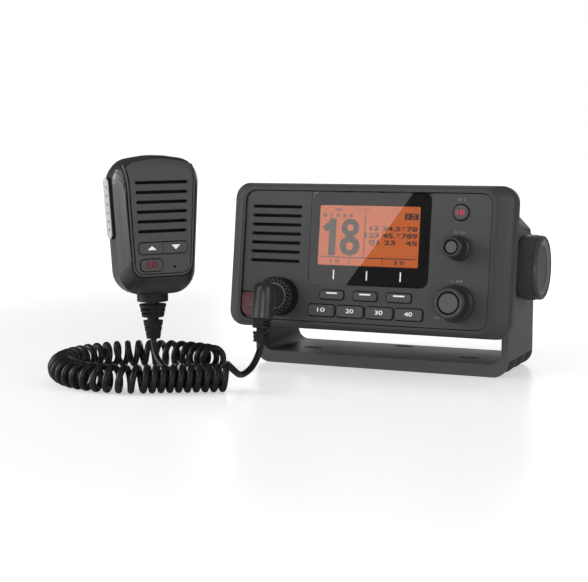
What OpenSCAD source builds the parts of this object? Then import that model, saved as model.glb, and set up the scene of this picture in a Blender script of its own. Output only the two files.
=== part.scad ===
// Fixed-mount marine radio on a tilting trunnion bracket, with a fist
// microphone on a curly cord that plugs into the front panel.
// Millimetres. X runs to the radio's right, Y to its back, Z up.
// The origin is the middle of the bracket's two front screw slots, on the
// underside of its base.

/* [Front housing] */
// How far the rim stands out beyond the chassis at each side
rim_over = 15; // [13:0.5:20]
// Height over the flared rim
bezel_h = 84; // [80:1:92]
// Corner radius of the rim
bezel_r = 9; // [6:0.5:12]
// How far the sides flare out from the front lip
flare_side = 8.6; // [4:0.2:10]
// How far the top and bottom flare out from the front lip
flare_top = 2.8; // [1.5:0.1:3.4]
// Depth of the flared band
flare_depth = 10; // [7:0.5:11]
// Distance from the tilt axis forward to the front panel
face_depth = 53; // [50:0.5:58]

/* [Front panel] */
// Width of the lip at each side of the panel
panel_rim = 2; // [1.6:0.2:3]
// Panel height
panel_h = 74.8; // [72:0.2:76]
// Panel corner radius
panel_r = 6; // [4:0.5:8]
// Panel thickness
panel_t = 3.4; // [3:0.1:4]
// Number of loudspeaker slots
slot_count = 7; // [5:1:8]
// Pitch of the loudspeaker slots
slot_pitch = 5.2; // [4.4:0.1:5.4]
// Length of a loudspeaker slot
slot_len = 31; // [24:0.5:32]
// Height of a loudspeaker slot
slot_h = 1.9; // [1.2:0.1:2.4]

/* [Display] */
// Width of the black display lens
lens_w = 71.6; // [66:0.2:73]
// Height of the black display lens
lens_h = 53.1; // [50:0.1:54]
// Width of the lit display
lcd_w = 60; // [50:0.5:62]
// Height of the lit display
lcd_h = 34; // [28:0.5:36]

/* [Keys and knobs] */
// Width of the keys under the display
soft_key_w = 14.2; // [10:0.2:16]
// Height of the keys under the display
soft_key_h = 4.8; // [4:0.1:5.4]
// Pitch of the keys under the display
soft_key_pitch = 20.1; // [17:0.1:21]
// Width of the keys in the bottom row
menu_key_w = 16; // [12:0.2:16.4]
// Height of the keys in the bottom row
menu_key_h = 6.3; // [5:0.1:7]
// Pitch of the keys in the bottom row
menu_key_pitch = 17.4; // [17.2:0.1:17.8]
// How far a key stands proud of the panel
key_proud = 1.1; // [0.9:0.1:2]
// How far a key travels
key_travel = 0.7; // [0.4:0.1:0.8]
// Radius of the power key
power_key_r = 4.2; // [3:0.1:5]
// Base radius of the volume knob
volume_r = 6.9; // [5.5:0.1:7.5]
// Base radius of the selector knob
select_r = 10.3; // [8:0.1:10.8]
// How far the knobs stand out of the panel
knob_proud = 15.5; // [12:0.5:18]
// How far a knob pushes in
knob_travel = 0.5; // [0.2:0.1:0.5]

/* [Rear chassis] */
// Width of the metal chassis
body_w = 140; // [136:1:142]
// Height of the metal chassis
body_h = 72; // [66:1:74]
// Distance from the tilt axis back to the chassis rear wall
body_back = 50; // [44:1:60]
// Depth of the heat sink fins
fin_depth = 12; // [6:1:14]
// Number of heat sink fins
fin_count = 16; // [8:1:20]
// Wall thickness of the chassis
body_wall = 4; // [3:0.5:5]

/* [Bracket] */
// Thickness of a rubber tilt washer
washer_t = 3.7; // [2.5:0.1:6]
// Depth of the bracket
bracket_d = 55; // [45:1:60]
// Thickness of the bracket's base
base_t = 7.1; // [6.5:0.1:9]
// Thickness of an arm
arm_t = 4; // [3:0.2:5]
// Height of an arm's front corner
arm_h = 88.5; // [84:0.5:92]
// Height of the tilt axis over the base's underside
pivot_z = 60.6; // [58:0.2:66]
// Distance of the tilt axis behind the screw slots
pivot_y = 6.5; // [0:0.5:10]
// How far the radio is tipped back as shown
tilt_rest = 7.5; // [0:0.5:12]
// Distance between the two front screw slots
mount_spacing = 98; // [80:1:110]
// End-to-end length of a screw slot
mount_slot_len = 12.6; // [8:0.2:16]
// Width of a screw slot
mount_slot_w = 5.2; // [4:0.2:6]
// Radius of a tilt knob
tilt_knob_r = 16.9; // [12:0.1:19]
// Thickness of a tilt knob
tilt_knob_t = 12.6; // [9:0.2:15]
// Radius of a tilt knob's threaded stud
stud_r = 3; // [2.5:0.1:4]

/* [Handset] */
// Widest width of the handset
handset_w = 51.6; // [48:0.2:56]
// Width of the handset at its foot
handset_foot_w = 43.4; // [40:0.2:46]
// Height of the handset
handset_h = 77; // [74:0.5:84]
// Thickness of the handset
handset_d = 26; // [24:0.5:30]
// Number of slots in the handset's grille
grille_count = 6; // [3:1:6]
// Pitch of the slots in the handset's grille
grille_pitch = 5.28; // [4.6:0.02:5.4]
// Height of the talk bar
ptt_h = 33.6; // [26:0.2:36]
// Width of the talk bar
ptt_w = 7.4; // [6:0.2:9]
// How far the talk bar stands proud
ptt_proud = 3.6; // [2.8:0.1:4.5]
// How far the talk bar travels
ptt_travel = 2; // [1:0.1:2.4]

/* [Curly cord] */
// Diameter of the cord
cord_d = 3.6; // [3:0.1:4]
// Outer diameter of the curls
curl_d = 15.6; // [14:0.1:18]
// Radius of the ring that the curly cord lies in
ring_r = 45; // [42:0.5:48]
// Number of curls round the ring
ring_curls = 30; // [20:1:32]
// Number of curls in the straight tail
tail_curls = 9.5; // [6.5:1:9.5]
// Length of the straight tail
tail_len = 44; // [43:0.5:46]

/* [Hidden] */
$fn = 48;
e = 0.01;
gap = 0.3;
run_fit = 0.05;
hull_fn = 32;

// radio, in its own frame: the tilt axis is at the origin
bezel_w = body_w + 2 * rim_over;
face_y = -face_depth;
panel_back = face_y + panel_t;
panel_z = -0.4;
lip = 0.8;
lip_y = face_y - lip;
lip_w = bezel_w - 2 * flare_side - 1;
panel_w = lip_w - 2 * panel_rim;
lip_h = bezel_h - 2 * flare_top;
rim_len = 5;
rim_y = lip_y + flare_depth + rim_len;
ledge = 2;
ledge_t = 2.1;
inner_w = panel_w - 2 * ledge;
inner_h = panel_h - 2 * ledge;
inner_r = 4;
gasket_t = 1;
gasket_inset = 4;
screw_r = 1.6;
screw_grip = 5;
screw_z = 27;
flange_y = rim_y + gasket_t;
flange_t = 2.5;
body_y = flange_y + flange_t;
screw_x = body_w / 2 + 5.6;
body_r = 6;

// stack behind the panel
membrane_y = panel_back + ledge_t;
membrane_t = 1;
board_y = membrane_y + membrane_t;
board_t = 1.6;
board_side = inner_w / 2 - 1;
board_h = inner_h - 1.4;
board_low_top = -7;
boss_low = 0.4;
key_flange = 0.8;
key_flange_t = 0.6;
key_flange_y = panel_back + 0.15;
key_r = 1.5;

// display
lens_x = 3.4;
lens_z = 10.35;
lens_t = 2;
lens_r = 5;
lens_sink = 0.4;
lcd_x = 3.6;
lcd_z = 12;
lcd_frame = 2;

// loudspeaker, between the panel's left edge and the lens
lens_left = lens_x - lens_w / 2;
speaker_x = (lens_left - panel_w / 2) / 2 - 0.55;
speaker_z = 11.9;
speaker_edge = 4.25;
speaker_r = (lens_left + panel_w / 2) / 2 - speaker_edge;
mesh_t = 0.4;
board_left = speaker_x + speaker_r + 3.2;

// controls
soft_x = 3;
soft_z = -21.9;
menu_x = 3.1;
menu_z = -30.9;
knob_x = (lens_x + lens_w / 2 + panel_w / 2) / 2 - 0.35;
power_z = 26.3;
volume_z = 6.6;
select_z = -23.5;
stem_r = 3;
encoder_w = 13;
plunger_t = 1.2;
plunger_y = board_y - 0.7 - knob_travel - plunger_t;
cap_t = 1.2;

// distress flap and key
flap_w = 13.2;
flap_x = flap_w / 2 + 0.4 - panel_w / 2;
flap_top = -22.1;
flap_h = 13.9;
flap_t = 1.4;
flap_pocket = 2.5;
hinge_r = 1.1;
hinge_pin_r = 0.5;
pin_reach = 1.8;
hinge_y = face_y + 1.2;
hinge_z = flap_top - hinge_r - 0.3;
distress_w = 7;
distress_z = flap_top - flap_h / 2 - 1;

// handset socket and plug on the panel
ring_out_r = 11;
socket_x = flap_x + flap_w / 2 + ring_out_r + 0.8;
socket_z = -24.3;
socket_r = 8.8;
socket_proud = 8;
socket_bore_r = 6.5;
socket_hole_r = 7.6;
ring_len = 10.2;
ring_wall_t = 1.6;
elbow_r = 6.8;
elbow_down_r = 5.85;
elbow_reach = 24.5;
elbow_foot_z = -37.2;
elbow_top_z = -17.2;
relief_len = 13.2;

// rear of the chassis
cavity_back = body_back - body_wall;
boss_r = 8;
boss_len = 14;
bore_depth = 12;
fin_t = 2.2;
fin_low = 3;
connector_z = 20 - body_h / 2;
antenna_x = -42;
antenna_r = 7.9;
antenna_len = 12;
antenna_flange = 25.4;
data_x = 14;
data_r = 6;
data_len = 9;
gland_x = 46;
gland_r = 6.5;
gland_len = 18;
gland_bore_r = 1.9;
gland_floor = 9;
main_board_z = -body_h / 2 + body_wall + 6;
main_board_w = body_w - 2 * body_wall - 16;
main_board_t = 1.6;

// bracket and tilt knobs
bracket_w = body_w + 2 * (washer_t + gap + arm_t);
arm_x = bracket_w / 2;
arm_fall = 12;
arm_front_r = 6;
arm_rear_r = 8;
washer_r = 11;
base_corner_r = 9;
base_inner_r = 7;
corner_rib_t = 1.6;
corner_wall = 6;
corner_pockets = 3;
bracket_front = pivot_y - bracket_d / 2;
bracket_back = pivot_y + bracket_d / 2;
rear_slot_y = bracket_back - 7.5;
stud_tip = body_w / 2 - bore_depth + 1;
stud_seat = 5;
knob_x0 = arm_x + gap;
grip_ribs = 6;

// handset, in its own frame: foot at z = 0, front at -y
handset_x = -104.3;
handset_y = -99.8;
handset_z = 47.5;
handset_yaw = 52;
handset_lean = -0.7;
handset_front = -handset_d / 2;
handset_seam = handset_front + 8.2;
handset_wall = 1.8;
mic_panel_t = 2.6;
mic_front_wall = handset_wall + mic_panel_t;
mic_rear_wall = 3;
mic_panel_gap = 0.4;
mic_panel_raise = 0.6;
mic_face = handset_front - mic_panel_raise;
mic_post_x = 11;
mic_post_z = [10, 66];
mic_post_r = 3;
mic_screw_r = 1.05;
mic_board_y = handset_front + mic_front_wall + 5.6;
mic_board_t = 1.4;
mic_relief_r = 8.65;
mic_relief_y = 3.2;
mic_relief_top = 2.4;
mic_panel_foot = 13.2;
mic_panel_half_foot = 15.6;
mic_panel_half_top = 18.9;
grille_top = 62.6;
grille_len = 30.9;
grille_taper = 0.48;
grille_h = 1.8;
rocker_z = 27;
rocker_w = 27.8;
rocker_h = 6;
channel_key_x = -6.9;
channel_key_z = 17.8;
channel_key_w = 12.6;
channel_key_h = 6.3;
mic_hole_x = 6.7;
mic_hole_z = 16.4;
mic_speaker_r = 13.5;
mic_key_proud = 0.5;
mic_flange_y = handset_front + mic_front_wall + 0.3;
ptt_z = 48.7;
ptt_y = 0.7;
ptt_root = 3.2;
ptt_pocket = ptt_root + ptt_travel + 0.6;
side_run = handset_h - 3;
side_slope = atan((handset_w - handset_foot_w) / 2 / side_run);
ptt_side = handset_foot_w / 2 + ptt_z * tan(side_slope);
hangup_r = 6;
hangup_neck_r = 4;
hangup_z = 50;
mic_relief_len = 24.8;

// curly cord: a helix on an arc with a straight tail, and two free leads
cord_r = cord_d / 2;
helix_r = curl_d / 2 - cord_r;
helix_z = curl_d / 2 + 0.05;
ring_x = -108;
ring_y = -104.5;
ring_from = 54;
ring_to = 300;
curl_steps = 8;
curl_sides = 6;
lead_sides = 8;
ring_len_mm = ring_r * (ring_to - ring_from) * PI / 180;
curls = ring_curls + tail_curls;
plug_lead_path = [
    [-49, -81.5, 11.8], [-49.7, -86.5, 7.7], [-50, -93.5, 5.7], [-49.6, -101, 6],
    [-49, -108, 8.8],
];
mic_lead_path = [
    [-102.2, -101, 14.2], [-97.9, -103.6, 10.1], [-92.4, -105.4, 7], [-88, -103, 4.6],
    [-86.6, -96, 3], [-87, -88, 2.2], [-87, -80, 1.9],
];

// ---------- helpers ----------

// The radio's own frame, tipped back on the tilt axis.
module in_radio() {
    translate([0, pivot_y, pivot_z])
        rotate([-tilt_rest, 0, 0])
            children();
}

// The handset's own frame.
module in_handset() {
    translate([handset_x, handset_y, handset_z])
        rotate([0, handset_lean, handset_yaw])
            translate([0, -mic_relief_y, 0])
                children();
}

// Rounded rectangle with true arcs.
module rounded_rect(w, h, r) {
    square([w - 2 * r, h], center = true);
    square([w, h - 2 * r], center = true);
    for (x = [-1, 1], y = [-1, 1]) {
        translate([x * (w / 2 - r), y * (h / 2 - r)])
            circle(r);
    }
}

// Upright plate whose outline is seen from the front, from y to y + t.
module plate(w, h, r, y, t, x = 0, z = 0) {
    translate([x, y + t, z])
        rotate([90, 0, 0])
            linear_extrude(t)
                rounded_rect(w, h, r);
}

// Round bar along Y, from y to y + t.
module disc(r, y, t, x = 0, z = 0, r2 = -1) {
    translate([x, y, z])
        rotate([-90, 0, 0])
            cylinder(h = t, r1 = r, r2 = r2 < 0 ? r : r2);
}

// Shape turned about the Y axis from a profile of [radius, depth] points.
module turned(profile, x = 0, z = 0) {
    translate([x, 0, z])
        rotate([-90, 0, 0])
            rotate_extrude()
                polygon(profile);
}

// Flat slot with round ends, along X, cut through in Z.
module slot_cut(len, w, h) {
    linear_extrude(h) {
        square([len - w, w], center = true);
        for (s = [-1, 1]) {
            translate([s * (len - w) / 2, 0])
                circle(w / 2);
        }
    }
}

// ---------- bracket ----------

module bracket_profile() {
    difference() {
        translate([0, arm_h])
            rounded_rect(bracket_w, 2 * arm_h, base_corner_r);
        translate([0, base_t + arm_h])
            rounded_rect(bracket_w - 2 * arm_t, 2 * arm_h, base_inner_r);
        translate([-bracket_w, arm_h + 5])
            square([2 * bracket_w, 2 * arm_h]);
    }
}

// Rounds one upper corner of an arm, s = -1 in front and 1 at the back.
module arm_corner(s, r, corner) {
    centre = corner + [-s * r, s * r * tan(arm_fall) - r / cos(arm_fall)];
    difference() {
        polygon([centre, centre + [s * (r + e), 0], corner + [s * e, 1],
            centre + (r + e) * [sin(arm_fall), cos(arm_fall)]]);
        translate(centre)
            circle(r);
    }
}

// Side view of an arm: straight edges and a top that falls to the back.
module arm_outline() {
    rear_h = arm_h - bracket_d * tan(arm_fall);
    difference() {
        polygon([[bracket_front, 0], [bracket_back, 0], [bracket_back, rear_h],
            [bracket_front, arm_h]]);
        arm_corner(-1, arm_front_r, [bracket_front, arm_h]);
        arm_corner(1, arm_rear_r, [bracket_back, rear_h]);
    }
}

module corner_pocket(side) {
    pitch = (bracket_d - corner_rib_t) / corner_pockets;
    for (i = [0 : corner_pockets - 1]) {
        translate([0, bracket_front + corner_rib_t + i * pitch, 0])
            mirror([side < 0 ? 1 : 0, 0, 0])
                difference() {
                    translate([arm_x - base_corner_r, 0, -e])
                        cube([base_corner_r + 1, pitch - corner_rib_t, base_corner_r]);
                    translate([arm_x - base_corner_r, -1, base_corner_r])
                        rotate([-90, 0, 0])
                            cylinder(h = pitch + 2, r = corner_wall);
                }
    }
}

module bracket() {
    pocket_w = mount_spacing / 2 - mount_slot_len / 2 - 8;
    color([0.15, 0.15, 0.16])
        difference() {
            intersection() {
                translate([0, bracket_back, 0])
                    rotate([90, 0, 0])
                        linear_extrude(bracket_d)
                            bracket_profile();
                translate([-bracket_w, 0, 0])
                    rotate([90, 0, 90])
                        linear_extrude(2 * bracket_w)
                            arm_outline();
            }
            for (s = [-1, 1]) {
                corner_pocket(s);
                translate([s * mount_spacing / 2, 0, -e])
                    slot_cut(mount_slot_len, mount_slot_w, base_t + 1);
                for (row = [0, 1]) {
                    translate([s > 0 ? 3 : -3 - pocket_w, bracket_front + 3 + row * 20, -e])
                        cube([pocket_w, 17, base_t - 3.2]);
                }
            }
            translate([0, rear_slot_y, -e])
                slot_cut(mount_slot_len, mount_slot_w, base_t + 1);
            translate([0, pivot_y, pivot_z])
                rotate([0, 90, 0])
                    cylinder(h = 2 * bracket_w, r = stud_r + gap, center = true);
        }
}

module tilt_washers() {
    in_radio()
        color([0.07, 0.07, 0.07])
            for (s = [-1, 1]) {
                translate([s * (body_w / 2 + washer_t / 2), 0, 0])
                    rotate([0, 90, 0])
                        difference() {
                            cylinder(h = washer_t, r = washer_r, center = true);
                            cylinder(h = washer_t + 1, r = stud_r + gap, center = true);
                        }
            }
}

// Knob on the +X side, axis along X; the left one is its mirror image.
module tilt_knob_shape() {
    r = tilt_knob_r;
    t = tilt_knob_t;
    rib_len = 8;
    translate([knob_x0, 0, 0])
        rotate([0, 90, 0])
            difference() {
                union() {
                    rotate_extrude()
                        polygon([
                            [0, 0], [r - 3, 0], [r - 2.2, 0.4], [r - 0.4, 2.4], [r, 4],
                            [r, t - 1.2], [r - 0.4, t - 0.3], [r - 1.2, t], [r - 2, t - 0.2],
                            [r - 3.2, t - 1.6], [r - 7, t - 2.4], [0, t - 2.8]
                        ]);
                    for (i = [0 : grip_ribs - 1]) {
                        rotate([0, 0, i * 360 / grip_ribs + 90])
                            translate([r - 0.6, 0, 3])
                                cylinder(h = rib_len, r1 = 1.1, r2 = 0.6);
                    }
                }
                translate([0, 0, -e])
                    cylinder(h = stud_seat + e, r = stud_r);
            }
}

module tilt_stud_shape() {
    translate([stud_tip, 0, 0])
        rotate([0, 90, 0])
            union() {
                cylinder(h = 1, r1 = stud_r - 1, r2 = stud_r);
                translate([0, 0, 1])
                    cylinder(h = knob_x0 + stud_seat - stud_tip - 1, r = stud_r);
            }
}

module tilt_knob_left() {
    in_radio()
        color([0.13, 0.13, 0.14])
            mirror([1, 0, 0])
                tilt_knob_shape();
}

module tilt_stud_left() {
    in_radio()
        color([0.7, 0.7, 0.72])
            mirror([1, 0, 0])
                tilt_stud_shape();
}

module tilt_knob_right() {
    in_radio()
        color([0.13, 0.13, 0.14])
            tilt_knob_shape();
}

module tilt_stud_right() {
    in_radio()
        color([0.7, 0.7, 0.72])
            tilt_stud_shape();
}

// ---------- front housing and panel ----------

// Flared housing: how far along the flare, and how much of it is reached there.
flare_curve = [[0, 0], [0.1, 0.17], [0.4, 0.56], [0.7, 0.86], [0.9, 0.97], [1, 1]];

module front_housing() {
    in_radio()
        color([0.2, 0.2, 0.21])
            difference() {
                hull() {
                    for (k = flare_curve) {
                        w = lip_w + (bezel_w - lip_w) * k[1];
                        h = lip_h + (bezel_h - lip_h) * k[1];
                        r = panel_r + 1.5 + (bezel_r - panel_r - 1.5) * k[1];
                        plate(w, h, r, lip_y + k[0] * flare_depth, 0.05, $fn = hull_fn);
                    }
                    plate(bezel_w, bezel_h, bezel_r, rim_y - 0.05, 0.05, $fn = hull_fn);
                }
                plate(panel_w + 0.2, panel_h + 0.2, panel_r + 0.1, lip_y - 1, panel_t + lip + 1,
                    z = panel_z);
                plate(inner_w, inner_h, inner_r, face_y, rim_y - face_y + 1);
                screw_holes(screw_r, rim_y - screw_grip, screw_grip + 1);
                translate([flap_x - flap_w / 2 - pin_reach - gap, hinge_y, hinge_z])
                    rotate([0, 90, 0])
                        cylinder(h = pin_reach, r = hinge_pin_r + run_fit);
            }
}

module key_hole(w, h, r, x, z) {
    plate(w + 2 * gap, h + 2 * gap, r + gap, face_y - 1, panel_t + 2, x, z);
}

module front_panel() {
    in_radio()
        color([0.24, 0.24, 0.25])
            difference() {
                plate(panel_w, panel_h, panel_r, face_y, panel_t, z = panel_z);
                for (i = [0 : slot_count - 1]) {
                    plate(slot_len, slot_h, slot_h / 2 - e, face_y - 1, panel_t + 2, speaker_x,
                        speaker_z + ((slot_count - 1) / 2 - i) * slot_pitch);
                }
                // lens rebate, open at the panel's top edge
                plate(lens_w + 0.2, lens_h + 20, lens_r + 0.1, face_y - 1, 1 + lens_sink + lens_t,
                    lens_x, lens_z + 9.9);
                plate(lcd_w + 3, lcd_h + 3, 2, face_y, panel_t + 1, lcd_x, lcd_z);
                for (i = [-1 : 1]) {
                    key_hole(soft_key_w, soft_key_h, key_r, soft_x + i * soft_key_pitch, soft_z);
                }
                for (i = [-1.5 : 1.5]) {
                    key_hole(menu_key_w, menu_key_h, key_r, menu_x + i * menu_key_pitch, menu_z);
                }
                disc(power_key_r + gap, face_y - 1, panel_t + 2, knob_x, power_z);
                disc(stem_r + gap, face_y - 1, panel_t + 2, knob_x, volume_z);
                disc(stem_r + gap, face_y - 1, panel_t + 2, knob_x, select_z);
                disc(socket_hole_r + run_fit, face_y - 1, panel_t + 2, socket_x, socket_z);
                // pocket for the flap, with a hole for the key under it
                plate(flap_w + 2 * gap, flap_h + 2 * gap, 0.8, face_y - 1, 1 + flap_pocket,
                    flap_x, flap_top - flap_h / 2);
                plate(distress_w + 2 * gap, distress_w + 2 * gap, 1, face_y, panel_t + 1,
                    flap_x, distress_z);
                translate([flap_x - flap_w / 2 - pin_reach, hinge_y, hinge_z])
                    rotate([0, 90, 0])
                        cylinder(h = flap_w + 2 * pin_reach, r = hinge_pin_r);
            }
}

module display_lens() {
    in_radio()
        color([0.02, 0.02, 0.02])
            union() {
                plate(lens_w, lens_h, lens_r, face_y + lens_sink, lens_t, lens_x, lens_z);
                translate([lens_x - lens_w / 2, face_y + lens_sink, lens_z])
                    cube([lens_w, lens_t, lens_h / 2]);
            }
}

module display_panel() {
    in_radio()
        color([0.85, 0.42, 0.12])
            union() {
                plate(lcd_w + 2, lcd_h + 2, 1, panel_back - 0.6, 0.6, lcd_x, lcd_z);
                plate(lcd_w + 2 * lcd_frame + 2, lcd_h + 2 * lcd_frame + 2, 1, panel_back,
                    board_y - panel_back, lcd_x, lcd_z);
            }
}

// Flat shape behind the panel, given by its four edges as seen from the front.
module sheet(x0, x1, z0, z1, y, t) {
    translate([x0, y, z0])
        cube([x1 - x0, t, z1 - z0]);
}

module front_board() {
    in_radio()
        color([0.1, 0.35, 0.18])
            difference() {
                union() {
                    sheet(board_left, board_side, -board_h / 2, board_h / 2, board_y, board_t);
                    sheet(-board_side, board_left + e, -board_h / 2, board_low_top, board_y,
                        board_t);
                    plate(18, 12, 0.5, board_y + board_t - e, 2.2, 5, -20);
                    plate(30, 4, 0.5, board_y + board_t - e, 3, 5, 26);
                }
                for (x = [-1, 1], z = [-1, 1]) {
                    translate([x * inner_w / 2, board_y + board_t / 2, z * inner_h / 2])
                        rotate([0, 45, 0])
                            cube([5.6, board_t + 1, 5.6], center = true);
                }
            }
}

module speaker() {
    y0 = panel_back + mesh_t;
    in_radio()
        color([0.3, 0.3, 0.32])
            turned([
                [0, y0 + 3.4], [4, y0 + 2.6], [speaker_r - 3, y0 + 0.8], [speaker_r - 2, y0],
                [speaker_r, y0], [speaker_r, y0 + 1.6], [speaker_r - 2, y0 + 2],
                [9.5, y0 + 6], [9.5, y0 + 11], [0, y0 + 11]
            ], speaker_x, speaker_z);
}

module speaker_mesh() {
    in_radio()
        color([0.05, 0.05, 0.05])
            plate(slot_len + 2.5, slot_pitch * (slot_count - 1) + slot_h + 1, 2, panel_back,
                mesh_t, speaker_x, speaker_z);
}

module key_membrane() {
    low = -board_h / 2 + 1;
    in_radio()
        color([0.45, 0.45, 0.47])
            difference() {
                union() {
                    sheet(board_left, board_side - 2, low, low + 18.6, membrane_y, membrane_t);
                    sheet(board_side - 28, board_side - 2, low, -low, membrane_y, membrane_t);
                    sheet(-board_side + 2, -board_side + 13, low + 1, low + 12, membrane_y,
                        membrane_t);
                    for (i = [-1 : 1]) {
                        membrane_boss(soft_x + i * soft_key_pitch, soft_z);
                    }
                    for (i = [-1.5 : 1.5]) {
                        membrane_boss(menu_x + i * menu_key_pitch, menu_z);
                    }
                    membrane_boss(knob_x, power_z);
                    membrane_boss(flap_x, distress_z);
                }
                for (z = [volume_z, select_z]) {
                    plate(encoder_w + 1, encoder_w + 1, 1, membrane_y - 1, membrane_t + 2,
                        knob_x, z);
                }
            }
}

// Dome of the membrane behind a key.
module membrane_boss(x, z) {
    disc(2, membrane_y - boss_low, boss_low + e, x, z);
}

// ---------- rotary controls ----------

// Encoder body on the board, with a bore for the knob's stem and its plunger.
module encoder(z) {
    difference() {
        plate(encoder_w, encoder_w, 1, panel_back + 0.3, board_y - panel_back - 0.3, knob_x, z);
        disc(stem_r + run_fit, panel_back - 1, board_y - panel_back + 0.5, knob_x, z);
    }
}

module volume_encoder() {
    in_radio()
        color([0.55, 0.55, 0.58])
            encoder(volume_z);
}

module select_encoder() {
    in_radio()
        color([0.55, 0.55, 0.58])
            encoder(select_z);
}

// Switch plunger at the bottom of the encoder's bore.
module plunger(z) {
    disc(stem_r - 0.05, plunger_y, plunger_t, knob_x, z);
}

module volume_plunger() {
    in_radio()
        color([0.8, 0.8, 0.75])
            plunger(volume_z);
}

module select_plunger() {
    in_radio()
        color([0.8, 0.8, 0.75])
            plunger(select_z);
}

// Knob with a stem; grip_r is the radius of its grip, cap_r that of its face.
module knob_shape(base_r, grip_r, cap_r, z, flutes) {
    y0 = face_y - knob_travel - 0.4;
    y1 = face_y - knob_proud;
    flute_at = grip_r + 0.35;
    difference() {
        turned([
            [0, plunger_y], [stem_r, plunger_y], [stem_r, y0], [base_r - 0.6, y0],
            [base_r, y0 - 0.6], [base_r, y0 - 2.6], [grip_r, y0 - 4], [grip_r, y1 + 1],
            [grip_r - 0.9, y1], [cap_r, y1], [cap_r, y1 + cap_t], [0, y1 + cap_t]
        ], knob_x, z);
        for (i = [0 : flutes - 1]) {
            a = i * 360 / flutes;
            disc(0.75, y1 + 1.6, y0 - 4.6 - y1 - 1.6, knob_x + flute_at * sin(a),
                z + flute_at * cos(a));
        }
    }
}

module knob_cap_shape(cap_r, z) {
    y1 = face_y - knob_proud;
    turned([
        [0, y1 + cap_t], [cap_r, y1 + cap_t], [cap_r, y1 + cap_t - 0.3],
        [cap_r - 1, y1 + cap_t - 0.3], [cap_r - 1, y1 + 0.4], [cap_r - 1.3, y1 + 0.1],
        [0, y1 + 0.1]
    ], knob_x, z);
}

module volume_knob() {
    in_radio()
        color([0.12, 0.12, 0.13])
            knob_shape(volume_r, volume_r - 1.2, volume_r - 2.6, volume_z, 16);
}

module volume_cap() {
    in_radio()
        color([0.2, 0.2, 0.2])
            knob_cap_shape(volume_r - 2.6, volume_z);
}

module select_knob() {
    in_radio()
        color([0.12, 0.12, 0.13])
            knob_shape(select_r, select_r - 1.6, select_r - 3.4, select_z, 24);
}

module select_cap() {
    in_radio()
        color([0.2, 0.2, 0.2])
            knob_cap_shape(select_r - 3.4, select_z);
}

// ---------- keys ----------

// Key cap with a flange that keeps it behind the panel.
module key_shape(w, h, r, x, z) {
    y0 = face_y - key_proud;
    plate(w - 0.6, h - 0.6, r - 0.3, y0, 0.4, x, z);
    plate(w, h, r, y0 + 0.4, key_flange_y - y0 - 0.4 + e, x, z);
    plate(w + 2 * key_flange, h + 2 * key_flange, r, key_flange_y, key_flange_t, x, z);
}

module soft_key(i) {
    in_radio()
        color([0.2, 0.2, 0.21])
            key_shape(soft_key_w, soft_key_h, key_r, soft_x + (i - 2) * soft_key_pitch, soft_z);
}

module soft_key_1() { soft_key(1); }
module soft_key_2() { soft_key(2); }
module soft_key_3() { soft_key(3); }

module menu_key(i) {
    x = menu_x + (i - 2.5) * menu_key_pitch;
    y0 = face_y - key_proud;
    in_radio()
        color([0.2, 0.2, 0.21]) {
            plate(menu_key_w - 0.6, menu_key_h - 0.6, key_r - 0.3, y0, 0.4, x, menu_z);
            plate(menu_key_w, menu_key_h, key_r, y0 + 0.4, key_flange_y - y0 - 0.4 + e, x, menu_z);
            plate(menu_key_w + 0.7, menu_key_h + 1, key_r, key_flange_y, key_flange_t, x, menu_z);
        }
}

module menu_key_1() { menu_key(1); }
module menu_key_2() { menu_key(2); }
module menu_key_3() { menu_key(3); }
module menu_key_4() { menu_key(4); }

module power_key() {
    y0 = face_y - key_proud;
    in_radio()
        color([0.2, 0.2, 0.21])
            turned([
                [0, y0], [power_key_r - 0.5, y0], [power_key_r, y0 + 0.5],
                [power_key_r, key_flange_y], [power_key_r + key_flange, key_flange_y],
                [power_key_r + key_flange, key_flange_y + key_flange_t],
                [0, key_flange_y + key_flange_t]
            ], knob_x, power_z);
}

module distress_flap() {
    bottom = flap_top - flap_h;
    corner = 5;
    in_radio()
        color([0.45, 0.05, 0.07])
            difference() {
                union() {
                    translate([flap_x - flap_w / 2, hinge_y, hinge_z])
                        rotate([0, 90, 0])
                            cylinder(h = flap_w, r = hinge_r);
                    translate([0, face_y - 0.2 + flap_t, 0])
                        rotate([90, 0, 0])
                            linear_extrude(flap_t)
                                difference() {
                                    translate([flap_x - flap_w / 2, bottom])
                                        square([flap_w, flap_h - hinge_r - 0.9]);
                                    translate([flap_x - flap_w / 2, bottom])
                                        difference() {
                                            translate([-1, -1])
                                                square([corner + 1, corner + 1]);
                                            translate([corner, corner])
                                                circle(corner);
                                        }
                                }
                }
                translate([flap_x - flap_w, hinge_y, hinge_z])
                    rotate([0, 90, 0])
                        cylinder(h = 2 * flap_w, r = hinge_pin_r + run_fit);
            }
}

module flap_hinge_pin() {
    in_radio()
        color([0.75, 0.75, 0.76])
            translate([flap_x - flap_w / 2 - pin_reach, hinge_y, hinge_z])
                rotate([0, 90, 0])
                    cylinder(h = flap_w + 2 * pin_reach, r = hinge_pin_r);
}

module distress_key() {
    y0 = face_y + flap_t + 0.1;
    in_radio()
        color([0.7, 0.08, 0.08]) {
            plate(distress_w, distress_w, 0.7, y0, key_flange_y - y0 + e, flap_x, distress_z);
            plate(distress_w + 1.4, distress_w + 1.4, 0.7, key_flange_y, key_flange_t, flap_x,
                distress_z);
        }
}

// ---------- handset socket and plug ----------

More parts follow.
